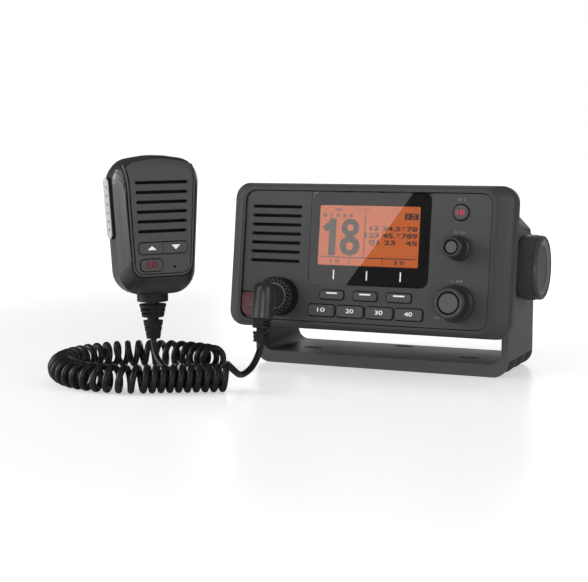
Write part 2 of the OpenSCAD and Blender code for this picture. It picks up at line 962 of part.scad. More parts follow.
module mic_socket() {
    y1 = face_y - socket_proud;
    in_radio()
        color([0.1, 0.1, 0.1])
            difference() {
                turned([
                    [0, y1], [socket_r, y1], [socket_r, face_y], [socket_hole_r, face_y],
                    [socket_hole_r, panel_back], [socket_hole_r + 1.2, panel_back],
                    [socket_hole_r + 1.2, board_y], [0, board_y]
                ], socket_x, socket_z);
                disc(socket_bore_r, y1 - 1, 6, socket_x, socket_z);
            }
}

module coupling_ring() {
    y1 = face_y - gap - ring_len;
    bore = socket_r + run_fit;
    neck = elbow_r + 0.3;
    in_radio()
        color([0.08, 0.08, 0.08])
            difference() {
                turned([
                    [bore, face_y - gap], [ring_out_r - 0.5, face_y - gap],
                    [ring_out_r, face_y - gap - 0.6], [ring_out_r, y1 + 0.8],
                    [ring_out_r - 0.9, y1], [neck, y1], [neck, y1 + ring_wall_t],
                    [bore, y1 + ring_wall_t]
                ], socket_x, socket_z);
                for (i = [0 : 23]) {
                    a = i * 15;
                    translate([socket_x + (ring_out_r + 0.3) * sin(a), y1 + 1.6,
                        socket_z + (ring_out_r + 0.3) * cos(a)])
                        rotate([-90, 0, 0])
                            cylinder(h = ring_len - 3, r = 0.75, $fn = 16);
                }
            }
}

module plug_elbow() {
    y1 = face_y - socket_proud;
    ye = face_y - elbow_reach;
    cy = [socket_x, ye, 0];
    in_radio()
        color([0.14, 0.14, 0.15])
            union() {
                disc(socket_bore_r - run_fit, y1 - e, 4.8, socket_x, socket_z);
                disc(elbow_r, y1 - 9, 9, socket_x, socket_z);
                disc(elbow_down_r, ye, y1 - 9 - ye + e, socket_x, socket_z, elbow_r);
                translate(cy)
                    rotate_extrude()
                        polygon([
                            [0, elbow_foot_z], [elbow_down_r - 0.3, elbow_foot_z],
                            [elbow_down_r, elbow_foot_z + 0.4], [elbow_down_r, elbow_top_z - 3.6],
                            [elbow_down_r - 0.7, elbow_top_z - 1.8],
                            [elbow_down_r - 2.4, elbow_top_z - 0.5], [0, elbow_top_z]
                        ]);
            }
}

// Flexible boot: blocks joined by a slim neck, each block slit from the side.
module relief_block(top_z, foot_z, top_r, foot_r, slits) {
    difference() {
        translate([0, 0, foot_z])
            cylinder(h = top_z - foot_z, r1 = foot_r, r2 = top_r);
        for (i = [1 : slits]) {
            z = top_z + (foot_z - top_z) * i / (slits + 1);
            for (s = [-1, 1]) {
                translate([s * (cord_r + 1.1), -top_r - 1, z - 0.35])
                    mirror([s < 0 ? 1 : 0, 0, 0])
                        cube([top_r, 2 * top_r + 2, 0.7]);
            }
        }
    }
}

module plug_strain_relief() {
    top = elbow_foot_z;
    foot = elbow_foot_z - relief_len;
    in_radio()
        color([0.1, 0.1, 0.1])
            translate([socket_x, face_y - elbow_reach, 0]) {
                relief_block(top, top - 5.4, 5.4, 5, 2);
                translate([0, 0, foot])
                    cylinder(h = relief_len, r = cord_r + 1);
                relief_block(top - 7.4, foot, 4.8, 4.1, 2);
            }
}

// ---------- rear chassis ----------

module housing_gasket() {
    in_radio()
        color([0.05, 0.05, 0.05])
            difference() {
                plate(bezel_w - 2 * gasket_inset, bezel_h - gasket_inset, bezel_r, rim_y, gasket_t);
                plate(inner_w, inner_h, inner_r, rim_y - 1, gasket_t + 2);
                screw_holes(screw_r + 0.1, rim_y - 1, gasket_t + 2);
            }
}

// Round bars at the four places of the housing screws.
module screw_holes(r, y, t) {
    for (x = [-1, 1], z = [-1, 1]) {
        disc(r, y, t, x * screw_x, z * screw_z);
    }
}

module rear_chassis() {
    fin_pitch = (body_w - 14) / (fin_count - 1);
    fin_top = body_h / 2 - 2;
    in_radio()
        color([0.16, 0.16, 0.17])
            difference() {
                union() {
                    plate(bezel_w - 2 * gasket_inset, bezel_h - gasket_inset, bezel_r, flange_y,
                        flange_t);
                    difference() {
                        plate(body_w, body_h, body_r, flange_y, body_back - flange_y);
                        plate(body_w - 2 * body_wall, body_h - 2 * body_wall, 3, flange_y - 1,
                            cavity_back - flange_y + 1);
                    }
                    for (i = [0 : fin_count - 1]) {
                        translate([-body_w / 2 + 7 + i * fin_pitch - fin_t / 2, body_back - e,
                            fin_low])
                            cube([fin_t, fin_depth + e, fin_top - fin_low]);
                    }
                    for (s = [-1, 1]) {
                        translate([s * (body_w / 2 - boss_len / 2), 0, 0])
                            rotate([0, 90, 0])
                                cylinder(h = boss_len, r = boss_r, center = true);
                    }
                    for (x = [-50, 50], y = [-20, cavity_back - 14]) {
                        translate([x, y, -body_h / 2 + body_wall - e])
                            cylinder(h = 6 + e, r = 3.5);
                    }
                }
                plate(body_w - 2 * body_wall, body_h - 2 * body_wall - 4, 3, flange_y - 1,
                    flange_t + 2);
                for (s = [-1, 1]) {
                    translate([s * (body_w / 2 - bore_depth / 2 + 0.5), 0, 0])
                        rotate([0, 90, 0])
                            cylinder(h = bore_depth + 1, r = stud_r + run_fit, center = true);
                }
                screw_holes(screw_r + 0.1, flange_y - 1, flange_t + 2);
                disc(5, cavity_back - 1, body_wall + 2, antenna_x, connector_z);
                disc(4, cavity_back - 1, body_wall + 2, data_x, connector_z);
                disc(4, cavity_back - 1, body_wall + 2, gland_x, connector_z);
            }
}

module main_board() {
    y0 = -30;
    y1 = cavity_back - 4;
    top = main_board_z + main_board_t - e;
    in_radio()
        color([0.1, 0.35, 0.18])
            union() {
                translate([-main_board_w / 2, y0, main_board_z])
                    cube([main_board_w, y1 - y0, main_board_t]);
                translate([6 - main_board_w / 2, y0 + 6, top])
                    cube([48, 34, 6]);
                translate([6, y0 + 12, top])
                    cube([24, 24, 2.5]);
                translate([-30, y1 - 20, top])
                    cube([60, 16, 8]);
                for (x = [20, 8]) {
                    translate([main_board_w / 2 - x, y1 - 16, top])
                        cylinder(h = 13, r = 5);
                }
            }
}

module housing_screws() {
    y0 = rim_y - screw_grip + 0.5;
    in_radio()
        color([0.6, 0.6, 0.62])
            difference() {
                union() {
                    screw_holes(3, body_y, 2);
                    screw_holes(screw_r, y0, body_y - y0 + e);
                }
                screw_holes(1.2, body_y + 1, 2);
            }
}

module antenna_socket() {
    y0 = body_back;
    in_radio()
        color([0.75, 0.75, 0.76])
            difference() {
                union() {
                    plate(antenna_flange, antenna_flange, 2, y0, 2, antenna_x, connector_z);
                    disc(antenna_r, y0, antenna_len + 2, antenna_x, connector_z);
                    disc(4.8, cavity_back + 1, body_wall, antenna_x, connector_z);
                }
                difference() {
                    disc(5.6, y0 + 5, antenna_len, antenna_x, connector_z);
                    disc(3.2, y0 + 4, antenna_len - 4, antenna_x, connector_z);
                }
                disc(2, y0 + 3, antenna_len, antenna_x, connector_z);
            }
}

module data_socket() {
    y0 = body_back;
    in_radio()
        color([0.2, 0.2, 0.2])
            difference() {
                union() {
                    disc(data_r + 3, y0, 2.5, data_x, connector_z);
                    disc(data_r, y0, data_len + 2.5, data_x, connector_z);
                    disc(3.8, cavity_back + 1, body_wall, data_x, connector_z);
                }
                difference() {
                    disc(data_r - 1.2, y0 + 5, data_len, data_x, connector_z);
                    disc(2.8, y0 + 4, data_len - 4, data_x, connector_z);
                }
            }
}

module power_gland() {
    y0 = body_back;
    in_radio()
        color([0.06, 0.06, 0.06])
            difference() {
                union() {
                    disc(gland_r + 1.5, y0, 3, gland_x, connector_z);
                    disc(gland_r, y0 + 3, gland_len - 3, gland_x, connector_z, gland_r - 2.4);
                    disc(3.8, cavity_back + 1, body_wall, gland_x, connector_z);
                }
                disc(gland_bore_r, y0 + gland_floor, gland_len, gland_x, connector_z);
            }
}

// ---------- handset ----------

// Corner points of a rounded polygon: each corner is [x, y, radius].
function unit2(v) = v / norm(v);
function corner_arc(a, b, c, n) =
    let (u = unit2([a[0] - b[0], a[1] - b[1]]),
         v = unit2([c[0] - b[0], c[1] - b[1]]),
         half = acos(max(-1, min(1, u * v))) / 2,
         m = unit2(u + v),
         o = [b[0], b[1]] + m * b[2] / sin(half),
         p = [b[0], b[1]] + u * b[2] / tan(half) - o,
         q = [b[0], b[1]] + v * b[2] / tan(half) - o,
         a0 = atan2(p[1], p[0]),
         d = atan2(p[0] * q[1] - p[1] * q[0], p * q))
    [for (i = [0 : n]) o + b[2] * [cos(a0 + d * i / n), sin(a0 + d * i / n)]];
function rounded_polygon(c, n = 7) =
    [for (i = [0 : len(c) - 1])
        each corner_arc(c[(i + len(c) - 1) % len(c)], c[i], c[(i + 1) % len(c)], n)];

// Outline of the handset at one depth: how far it is drawn in at the sides,
// foot and top from its widest section.
function handset_outline(side, foot, top) = rounded_polygon([
    [-handset_foot_w / 2 + side, foot + 0.8, 13.5 - side / 2],
    [handset_foot_w / 2 - side, foot + 0.8, 13.5 - side / 2],
    [handset_w / 2 - side, handset_h - 3 - top, 13 - side / 2],
    [0, handset_h + 0.6 - top, 48],
    [-handset_w / 2 + side, handset_h - 3 - top, 13 - side / 2]
]);

// Depth and draw-in of each section, front to back: [y, side, foot, top].
bevel_d = 8;
back_d = 9;
handset_sections = [
    for (q = [[0, 1, 1, 1], [0.034, 0.97, 0.91, 0.74], [0.13, 0.87, 0.76, 0.5],
        [0.29, 0.71, 0.55, 0.29], [0.5, 0.5, 0.33, 0.13], [0.74, 0.25, 0.15, 0.03], [1, 0, 0, 0]])
        [handset_front + q[0] * bevel_d, 4.2 * q[1], 10.2 * q[2], 10.5 * q[3]],
    for (q = [[0, 0, 0, 0], [0.36, 0.08, 0.07, 0.1], [0.68, 0.3, 0.27, 0.35],
        [0.9, 0.65, 0.58, 0.7], [1, 1, 1, 1]])
        [-handset_front - (1 - q[0]) * back_d, 6.5 * q[1], 4.5 * q[2], 11 * q[3]],
];

// Closed skin of triangles through outlines that have the same point count.
module loft(outlines, depths) {
    m = len(outlines);
    n = len(outlines[0]);
    points = [for (i = [0 : m - 1]) for (p = outlines[i]) [p[0], depths[i], p[1]]];
    walls = [
        for (i = [0 : m - 2], j = [0 : n - 1])
            let (k = (j + 1) % n, a = i * n + j, b = i * n + k, c = a + n, d = b + n)
            each [[a, b, d], [a, d, c]]
    ];
    head = [for (j = [1 : n - 2]) [0, j + 1, j]];
    tail = [for (j = [1 : n - 2]) [(m - 1) * n, (m - 1) * n + j, (m - 1) * n + j + 1]];
    polyhedron(points, concat(walls, head, tail));
}

module handset_shell(inset) {
    k = 1 - inset / (handset_d / 2);
    loft(
        [for (s = handset_sections) handset_outline(s[1] + inset, s[2] + inset, s[3] + inset)],
        [for (s = handset_sections) s[0] * k]
    );
}

// The panel's outline, open at the top.
module mic_panel_outline(grow) {
    polygon(rounded_polygon([
        [-mic_panel_half_foot - grow, mic_panel_foot - grow, 4.5 + grow],
        [mic_panel_half_foot + grow, mic_panel_foot - grow, 4.5 + grow],
        [mic_panel_half_top + 0.8 + grow, handset_h + 10, 1],
        [-mic_panel_half_top - 0.8 - grow, handset_h + 10, 1]
    ]));
}

module mic_front_view(grow, y, t) {
    translate([0, y + t, 0])
        rotate([90, 0, 0])
            linear_extrude(t)
                mic_panel_outline(grow);
}

module mic_face_holes() {
    y = handset_front - 2;
    t = 3 + mic_front_wall;
    for (i = [0 : grille_count - 1]) {
        plate(grille_len - i * grille_taper, grille_h, grille_h / 2 - e, y, t, 0,
            grille_top - i * grille_pitch);
    }
    plate(rocker_w + 2 * gap, rocker_h + 2 * gap, 2, y, t, 0, rocker_z);
    plate(channel_key_w + 2 * gap, channel_key_h + 2 * gap, channel_key_h / 2 - 0.4, y, t,
        channel_key_x, channel_key_z);
    disc(0.8, y, t, mic_hole_x, mic_hole_z);
}

// Hole in the foot of the case for the strain relief.
module mic_foot_hole() {
    translate([0, mic_relief_y, -10])
        cylinder(h = 10 + mic_relief_top, r = mic_relief_r + run_fit);
}

module mic_posts(r, y, t) {
    for (x = [-mic_post_x, mic_post_x], z = mic_post_z) {
        disc(r, y, t, x, z);
    }
}

// Room inside the case, from y to y + t, less what is left standing in it.
module mic_cavity(y, t) {
    difference() {
        plate(handset_foot_w - 8, handset_h - 12, 11, y, t, 0, handset_h / 2 - 1);
        mic_posts(mic_post_r, y - 1, t + 2);
        left_prism(0, ptt_pocket + 2, 1.6);
    }
}

module mic_front_case() {
    in_handset()
        color([0.16, 0.16, 0.17])
            difference() {
                handset_shell(0);
                mic_cavity(handset_front + mic_front_wall, handset_d);
                mic_front_view(mic_panel_gap, handset_front - 2, 2 + mic_panel_t);
                translate([-handset_w, handset_seam, -20])
                    cube([2 * handset_w, 40, 2 * handset_h]);
                mic_posts(mic_screw_r + 0.05, handset_seam - 4, 5);
                mic_foot_hole();
                mic_face_holes();
            }
}

module mic_panel() {
    in_handset()
        color([0.22, 0.22, 0.23])
            difference() {
                intersection() {
                    handset_shell(-mic_panel_raise);
                    mic_front_view(0, handset_front - 2, 2 + mic_panel_t);
                }
                mic_face_holes();
            }
}

module ptt_outline(grow) {
    translate([ptt_y, ptt_z])
        rotate(90)
            rounded_rect(ptt_h + 2 * grow, ptt_w + 2 * grow, ptt_w / 2 + grow - e);
}

// Prism in the left side, square to its slope, its outline seen from the left,
// from x to x + t as measured from the side's surface.
module left_prism(x, t, grow) {
    translate([-ptt_side, 0, ptt_z])
        rotate([0, -side_slope, 0])
            translate([x, 0, -ptt_z])
                rotate([90, 0, 90])
                    linear_extrude(t)
                        ptt_outline(grow);
}

module mic_rear_case() {
    in_handset()
        color([0.17, 0.17, 0.18])
            difference() {
                handset_shell(0);
                mic_cavity(handset_seam - 1, -handset_front - mic_rear_wall - handset_seam + 1);
                left_prism(-4, 4 + ptt_pocket, gap);
                translate([-handset_w, handset_seam - 40, -20])
                    cube([2 * handset_w, 40, 2 * handset_h]);
                mic_posts(mic_screw_r + 0.05, handset_seam - 1, handset_d);
                mic_posts(2.3, -handset_front - 2.2, 10);
                disc(2, -handset_front - 4, 10, 0, hangup_z);
                mic_foot_hole();
            }
}

module mic_speaker() {
    y0 = handset_front + mic_front_wall;
    in_handset()
        color([0.3, 0.3, 0.32])
            turned([
                [0, y0 + 1.6], [mic_speaker_r - 2, y0 + 0.4], [mic_speaker_r - 1.4, y0],
                [mic_speaker_r, y0], [mic_speaker_r, y0 + 1.4], [7, y0 + 3.4], [7, y0 + 5.6],
                [0, y0 + 5.6]
            ], 0, grille_top - (grille_count - 1) / 2 * grille_pitch);
}

module mic_element() {
    in_handset()
        color([0.6, 0.6, 0.62])
            disc(3, handset_front + mic_front_wall, 2.6, mic_hole_x, mic_hole_z);
}

module mic_board() {
    in_handset()
        color([0.1, 0.35, 0.18])
            union() {
                plate(30, 48, 2, mic_board_y, mic_board_t, 0, 38);
                disc(2.4, mic_board_y - 3, 3 + e, mic_hole_x, mic_hole_z);
                for (x = [-rocker_w / 4, rocker_w / 4]) {
                    disc(2, mic_board_y - 3.6, 3.6 + e, x, rocker_z);
                }
                disc(2, mic_board_y - 3.6, 3.6 + e, channel_key_x, channel_key_z);
            }
}

module mic_screws() {
    y0 = handset_seam - 3.6;
    y1 = -handset_front - 2.2;
    in_handset()
        color([0.6, 0.6, 0.62])
            difference() {
                union() {
                    mic_posts(2, y1, 1.4);
                    mic_posts(mic_screw_r, y0, y1 - y0 + e);
                }
                mic_posts(0.8, y1 + 0.7, 2);
            }
}

module hangup_stud() {
    y1 = -handset_front;
    in_handset()
        color([0.12, 0.12, 0.13])
            turned([
                [0, y1 - 3], [1.9, y1 - 3], [1.9, y1], [hangup_neck_r + 2, y1],
                [hangup_neck_r, y1 + 1], [hangup_neck_r, y1 + 3.4], [hangup_r, y1 + 3.8],
                [hangup_r, y1 + 5], [hangup_r - 0.8, y1 + 5.8], [0, y1 + 5.8]
            ], 0, hangup_z);
}

module ptt_bar() {
    in_handset()
        color([0.62, 0.62, 0.62])
            difference() {
                left_prism(-ptt_proud, ptt_proud + ptt_root, 0);
                translate([-ptt_side, 0, ptt_z])
                    rotate([0, -side_slope, 0])
                        for (i = [0 : 5]) {
                            translate([-ptt_proud - e, ptt_y - ptt_w / 4, (i - 2.5) * 4.5])
                                rotate([0, 90, 0])
                                    cylinder(h = 0.6, r = 0.5, $fn = 16);
                        }
            }
}

// Two keys that share one rounded window; side is -1 or 1.
module rocker_key(side) {
    y0 = mic_face - mic_key_proud;
    t = mic_flange_y - y0;
    intersection() {
        union() {
            plate(rocker_w, rocker_h, 1.7, y0, t + e, 0, rocker_z);
            plate(rocker_w + 1.6, rocker_h + 1.6, 1.7, y0 + t, 0.8, 0, rocker_z);
        }
        translate([side > 0 ? gap / 2 : -rocker_w, -handset_d, 0])
            cube([rocker_w - gap / 2, 2 * handset_d, handset_h]);
    }
}

module up_key() {
    in_handset()
        color([0.2, 0.2, 0.21])
            rocker_key(-1);
}

module down_key() {
    in_handset()
        color([0.2, 0.2, 0.21])
            rocker_key(1);
}

module channel_key() {
    y0 = mic_face - mic_key_proud;
    t = mic_flange_y - y0;
    r = channel_key_h / 2 - 0.7;
    in_handset()
        color([0.2, 0.2, 0.21]) {
            plate(channel_key_w, channel_key_h, r, y0, t + e, channel_key_x, channel_key_z);
            plate(channel_key_w + 1.4, channel_key_h + 1.4, r, y0 + t, 0.8, channel_key_x,
                channel_key_z);
        }
}

module mic_strain_relief() {
    in_handset()
        color([0.1, 0.1, 0.1])
            translate([0, mic_relief_y, 0]) {
                relief_block(mic_relief_top, -3.8, mic_relief_r, mic_relief_r, 0);
                translate([0, 0, -mic_relief_len])
                    cylinder(h = mic_relief_len, r = cord_r + 1.4);
                relief_block(-5.6, -12.6, 7.6, 6.1, 2);
                relief_block(-14.8, -mic_relief_len, 5.6, 3.8, 2);
            }
}

// ---------- cord ----------

function unit(v) = v / norm(v);

// Place along the curly cord's middle line, s in millimetres from the ring's
// rear end: [point, direction, outward normal].
function ring_frame(s) =
    let (on_ring = s <= ring_len_mm,
         a = on_ring ? ring_from + s / ring_r * 180 / PI : ring_to,
         n = [cos(a), sin(a), 0],
         d = [-sin(a), cos(a), 0],
         p = [ring_x, ring_y, helix_z] + ring_r * n + (on_ring ? 0 : s - ring_len_mm) * d)
    [p, d, n];

// Distance along the middle line after so many curls.
function curl_place(u) =
    u <= ring_curls ? u * ring_len_mm / ring_curls
    : ring_len_mm + (u - ring_curls) * tail_len / tail_curls;

// The curls start at the bottom, inside the ring, and end at the top.
function helix_point(u) =
    let (f = ring_frame(curl_place(u)), phi = -90 + 360 * u)
    f[0] + helix_r * (cos(phi) * f[2] + sin(phi) * [0, 0, 1]);
function helix_radial(u) =
    let (f = ring_frame(curl_place(u)), phi = -90 + 360 * u)
    cos(phi) * f[2] + sin(phi) * [0, 0, 1];
function helix_dir(u) = unit(helix_point(min(curls, u + 0.002)) - helix_point(max(0, u - 0.002)));

helix_steps = curls * curl_steps;
helix_us = [for (i = [0 : helix_steps]) i / curl_steps];
helix_from = helix_point(0) - cord_d * helix_dir(0);
helix_to = helix_point(curls) + cord_d * helix_dir(curls);
helix_points = [helix_from, each [for (u = helix_us) helix_point(u)], helix_to];
helix_dirs = [helix_dir(0), each [for (u = helix_us) helix_dir(u)], helix_dir(curls)];
helix_radials = [helix_radial(0), each [for (u = helix_us) helix_radial(u)], helix_radial(curls)];

// Tube of triangles through points, with a direction and a side vector at each.
module tube(points, dirs, sides_at, r, n) {
    m = len(points);
    ring_points = [
        for (i = [0 : m - 1])
            let (t = dirs[i],
                 a = unit(sides_at[i] - (sides_at[i] * t) * t),
                 b = cross(t, a))
            for (j = [0 : n - 1])
                points[i] + r * (cos(360 * j / n) * a + sin(360 * j / n) * b)
    ];
    walls = [
        for (i = [0 : m - 2], j = [0 : n - 1])
            let (k = (j + 1) % n, a = i * n + j, b = i * n + k, c = a + n, d = b + n)
            each [[a, d, b], [a, c, d]]
    ];
    head = [for (j = [1 : n - 2]) [0, j, j + 1]];
    tail = [for (j = [1 : n - 2]) [(m - 1) * n, (m - 1) * n + j + 1, (m - 1) * n + j]];
    polyhedron(ring_points, concat(walls, head, tail));
}

// Smooth curve through hand-picked points, with steps between each pair.
function curve_point(p, i, t) =
    let (a = p[max(0, i - 1)], b = p[i], c = p[i + 1], d = p[min(len(p) - 1, i + 2)])
    0.5 * (2 * b + (c - a) * t + (2 * a - 5 * b + 4 * c - d) * t * t
        + (3 * b - a - 3 * c + d) * t * t * t);
function curve(p, steps) =
    [for (i = [0 : len(p) - 2], k = [0 : steps - 1]) curve_point(p, i, k / steps), p[len(p) - 1]];

// Points in the row's frame of a point, or a direction, in the radio's frame
// and in the handset's.
function turn_x(p, a) = [p[0], p[1] * cos(a) - p[2] * sin(a), p[1] * sin(a) + p[2] * cos(a)];
function turn_y(p, a) = [p[0] * cos(a) + p[2] * sin(a), p[1], p[2] * cos(a) - p[0] * sin(a)];
function turn_z(p, a) = [p[0] * cos(a) - p[1] * sin(a), p[0] * sin(a) + p[1] * cos(a), p[2]];
function radio_place(p) = [0, pivot_y, pivot_z] + turn_x(p, -tilt_rest);
function handset_turn(p) = turn_z(turn_y(p, handset_lean), handset_yaw);
function handset_place(p) =
    [handset_x, handset_y, handset_z] + handset_turn(p - [0, mic_relief_y, 0]);

plug_exit = radio_place([socket_x, face_y - elbow_reach, elbow_foot_z - relief_len]);
plug_exit_dir = turn_x([0, 0, -1], -tilt_rest);
mic_exit = handset_place([0, mic_relief_y, -mic_relief_len]);
mic_exit_dir = handset_turn([0, 0, -1]);
coil_start_dir = helix_dir(0);
coil_end_dir = helix_dir(curls);

// Lead from a boot to an end of the curls: straight for a cord's width at
// both ends, square to what it meets.
function lead_route(from, from_dir, path, to, to_dir) =
    let (mid = curve([from + cord_d * from_dir, each path, to - cord_d * to_dir], 2))
    [from, each mid, to];
function lead_dirs(p, from_dir, to_dir) =
    [for (i = [0 : len(p) - 1])
        i < 2 ? from_dir : i > len(p) - 3 ? to_dir : unit(p[i + 1] - p[i - 1])];

module lead(from, from_dir, path, to, to_dir, side) {
    points = lead_route(from, from_dir, path, to, to_dir);
    color([0.06, 0.06, 0.06])
        tube(points, lead_dirs(points, from_dir, to_dir), [for (p = points) side], cord_r,
            lead_sides);
}

module cord_lead_plug() {
    lead(plug_exit, plug_exit_dir, plug_lead_path, helix_to, -coil_end_dir, [1, 0, 0]);
}

module cord_lead_mic() {
    lead(mic_exit, mic_exit_dir, mic_lead_path, helix_from, coil_start_dir, [1, 0.4, 0]);
}

module curly_cord() {
    color([0.06, 0.06, 0.06])
        tube(helix_points, helix_dirs, helix_radials, cord_r, curl_sides);
}

// Least gap of the curly cord to itself, taken on its points half a curl or
// more apart.
helix_gap = min([
    for (i = [0 : helix_steps])
        min([for (k = [i + curl_steps / 2 : min(helix_steps, i + 2 * curl_steps)])
            norm(helix_point(i / curl_steps) - helix_point(k / curl_steps)), 1000])
]) - cord_d;
echo(curly_cord_least_gap_mm = helix_gap);

// ---------- parts ----------

bracket();
tilt_washers();
tilt_knob_left();
tilt_stud_left();
tilt_knob_right();
tilt_stud_right();
front_housing();
front_panel();
display_lens();
display_panel();
front_board();
speaker();
speaker_mesh();
key_membrane();
volume_encoder();
select_encoder();
mic_socket();
housing_gasket();
rear_chassis();
main_board();
antenna_socket();
data_socket();
power_gland();
housing_screws();
flap_hinge_pin();
volume_plunger();
volume_knob();
volume_cap();
select_plunger();
select_knob();
select_cap();
power_key();
soft_key_1();
soft_key_2();
soft_key_3();
menu_key_1();
menu_key_2();
menu_key_3();
menu_key_4();
distress_flap();
distress_key();
plug_elbow();
coupling_ring();
plug_strain_relief();
cord_lead_plug();
curly_cord();
cord_lead_mic();
mic_front_case();
mic_rear_case();
mic_panel();
mic_speaker();
mic_element();
mic_board();
mic_screws();
hangup_stud();
mic_strain_relief();
ptt_bar();
up_key();
down_key();
channel_key();
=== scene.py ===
import math

import bmesh
import bpy
from mathutils import Matrix, Vector


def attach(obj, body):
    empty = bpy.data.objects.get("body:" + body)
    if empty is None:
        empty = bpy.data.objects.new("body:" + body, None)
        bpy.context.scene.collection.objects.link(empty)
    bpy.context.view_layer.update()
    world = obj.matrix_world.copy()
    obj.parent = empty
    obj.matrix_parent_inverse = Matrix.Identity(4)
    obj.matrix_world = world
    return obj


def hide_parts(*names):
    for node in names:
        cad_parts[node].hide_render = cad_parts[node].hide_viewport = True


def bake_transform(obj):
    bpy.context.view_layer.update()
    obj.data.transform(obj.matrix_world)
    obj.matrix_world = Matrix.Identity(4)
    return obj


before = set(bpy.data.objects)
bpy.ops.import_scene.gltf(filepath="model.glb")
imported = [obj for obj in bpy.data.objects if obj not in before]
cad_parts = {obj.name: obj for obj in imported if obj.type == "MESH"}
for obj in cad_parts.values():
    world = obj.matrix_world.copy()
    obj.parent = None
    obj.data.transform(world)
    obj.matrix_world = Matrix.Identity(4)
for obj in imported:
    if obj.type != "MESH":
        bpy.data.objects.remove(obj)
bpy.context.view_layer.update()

MM = 0.001
D = bpy.data
SCENE = bpy.context.scene


# ------------------------------------------------------- handling objects

def only(obj):
    """Select one object and nothing else."""
    bpy.ops.object.select_all(action="DESELECT")
    bpy.context.view_layer.objects.active = obj
    obj.select_set(True)


def to_mesh(obj):
    """Turn a curve or a text into a mesh."""
    only(obj)
    bpy.ops.object.convert(target="MESH")
    return bpy.context.object


def smooth(obj):
    """Shade every face smoothly."""
    for f in obj.data.polygons:
        f.use_smooth = True


def at(x, y, z, angle=0, axis="X"):
    """Shift in millimetres, after a turn in degrees about one axis."""
    return (Matrix.Translation(Vector((x, y, z)) * MM)
            @ Matrix.Rotation(math.radians(angle), 4, axis))


def spot(place, x, y, z):
    """World point of a spot on the radio or on the handset."""
    return place @ (Vector((x, y, z)) * MM)


# ---------------------------------------------------------------- camera

CAMERA_AT = (0.27181, -0.75129, 0.1306)
CAMERA_DOWN, CAMERA_TURN = 6.21, 23.98


def set_camera():
    """The photograph's own viewpoint."""
    bpy.ops.object.camera_add(location=CAMERA_AT)
    cam = bpy.context.object
    cam.name = "camera"
    cam.rotation_euler = (math.radians(90 - CAMERA_DOWN), 0, math.radians(CAMERA_TURN))
    cam.data.sensor_fit = "HORIZONTAL"
    cam.data.sensor_width = 36
    cam.data.lens = 82.65
    cam.data.clip_end = 60
    SCENE.camera = cam


set_camera()


# ----------------------------------- places on the radio and on the handset

TILT_AXIS, TILT = (0, 6.5, 60.6), 7.5
RADIO = at(*TILT_AXIS, -TILT)
FACE = -53.0
PLUG_X, PLUG_Y, PLUG_Z = -48.5, FACE - 24.5, -24.3
KNOB_X, VOLUME_Z, SELECT_Z = 56.2, 6.6, -23.5
SOFT_KEY_X = [3 + (i - 1) * 20.1 for i in range(3)]
MENU_KEY_X = [3.1 + (i - 1.5) * 17.4 for i in range(4)]
SOFT_KEY_Z, MENU_KEY_Z, POWER_KEY_Z = -21.9, -30.9, 26.3

MIC_MIDDLE_Y = 3.2
MIC = at(-104.3, -99.8, 47.5, 52, "Z") @ at(0, 0, 0, -0.7, "Y") @ at(0, -MIC_MIDDLE_Y, 0)


# ------------------------------------------------------------------ cord

CORD_D = 3.6
HELIX_R, HELIX_Z = 6.0, 7.85
RING_C = Vector((-108, -104.5, HELIX_Z))
RING_R = 45.0
RING_FROM, RING_TO = 54.0, 300.0
RING_CURLS, TAIL_CURLS, TAIL_LEN = 30.0, 9.5, 44.0
RING_LEN = RING_R * math.radians(RING_TO - RING_FROM)
CURLS = RING_CURLS + TAIL_CURLS
CURL_STEPS, LEAD_STEPS = 24, 6
PLUG_EXIT_Z, MIC_EXIT_Z = -50.4, -24.8
PLUG_PATH = [(-49, -81.5, 11.8), (-49.7, -86.5, 7.7), (-50, -93.5, 5.7), (-49.6, -101, 6),
             (-49, -108, 8.8)]
MIC_PATH = [(-102.2, -101, 14.2), (-97.9, -103.6, 10.1), (-92.4, -105.4, 7), (-88, -103, 4.6),
            (-86.6, -96, 3), (-87, -88, 2.2), (-87, -80, 1.9)]


def coil_point(u):
    """Point after u curls, counted from the end near the handset's lead."""
    if u <= RING_CURLS:
        angle = math.radians(RING_FROM) + u * RING_LEN / RING_CURLS / RING_R
        straight = 0
    else:
        angle = math.radians(RING_TO)
        straight = (u - RING_CURLS) * TAIL_LEN / TAIL_CURLS
    out = Vector((math.cos(angle), math.sin(angle), 0))
    along = Vector((-math.sin(angle), math.cos(angle), 0))
    middle = RING_C + RING_R * out + straight * along
    phase = math.radians(-90) + 2 * math.pi * u
    return middle + HELIX_R * (math.cos(phase) * out + math.sin(phase) * Vector((0, 0, 1)))


def coil_way(u):
    """Direction in which the coil runs after u curls."""
    return (coil_point(min(CURLS, u + 0.002)) - coil_point(max(0, u - 0.002))).normalized()


def smooth_through(points):
    """Catmull-Rom curve through the points."""
    out = []
    for i in range(len(points) - 1):
        a, b, c, d = (points[max(0, i - 1)], points[i], points[i + 1],
                      points[min(len(points) - 1, i + 2)])
        for k in range(LEAD_STEPS):
            t = k / LEAD_STEPS
            out.append(0.5 * (2 * b + (c - a) * t + (2 * a - 5 * b + 4 * c - d) * t * t
                              + (3 * b - a - 3 * c + d) * t ** 3))
    return out + [points[-1]]


def lead_points(start, way, path, end, end_way):
    """Lead that leaves along way, follows the path and arrives along end_way."""
    middle = [start + CORD_D * way] + [Vector(p) for p in path] + [end - CORD_D * end_way]
    return [start] + smooth_through(middle) + [end]


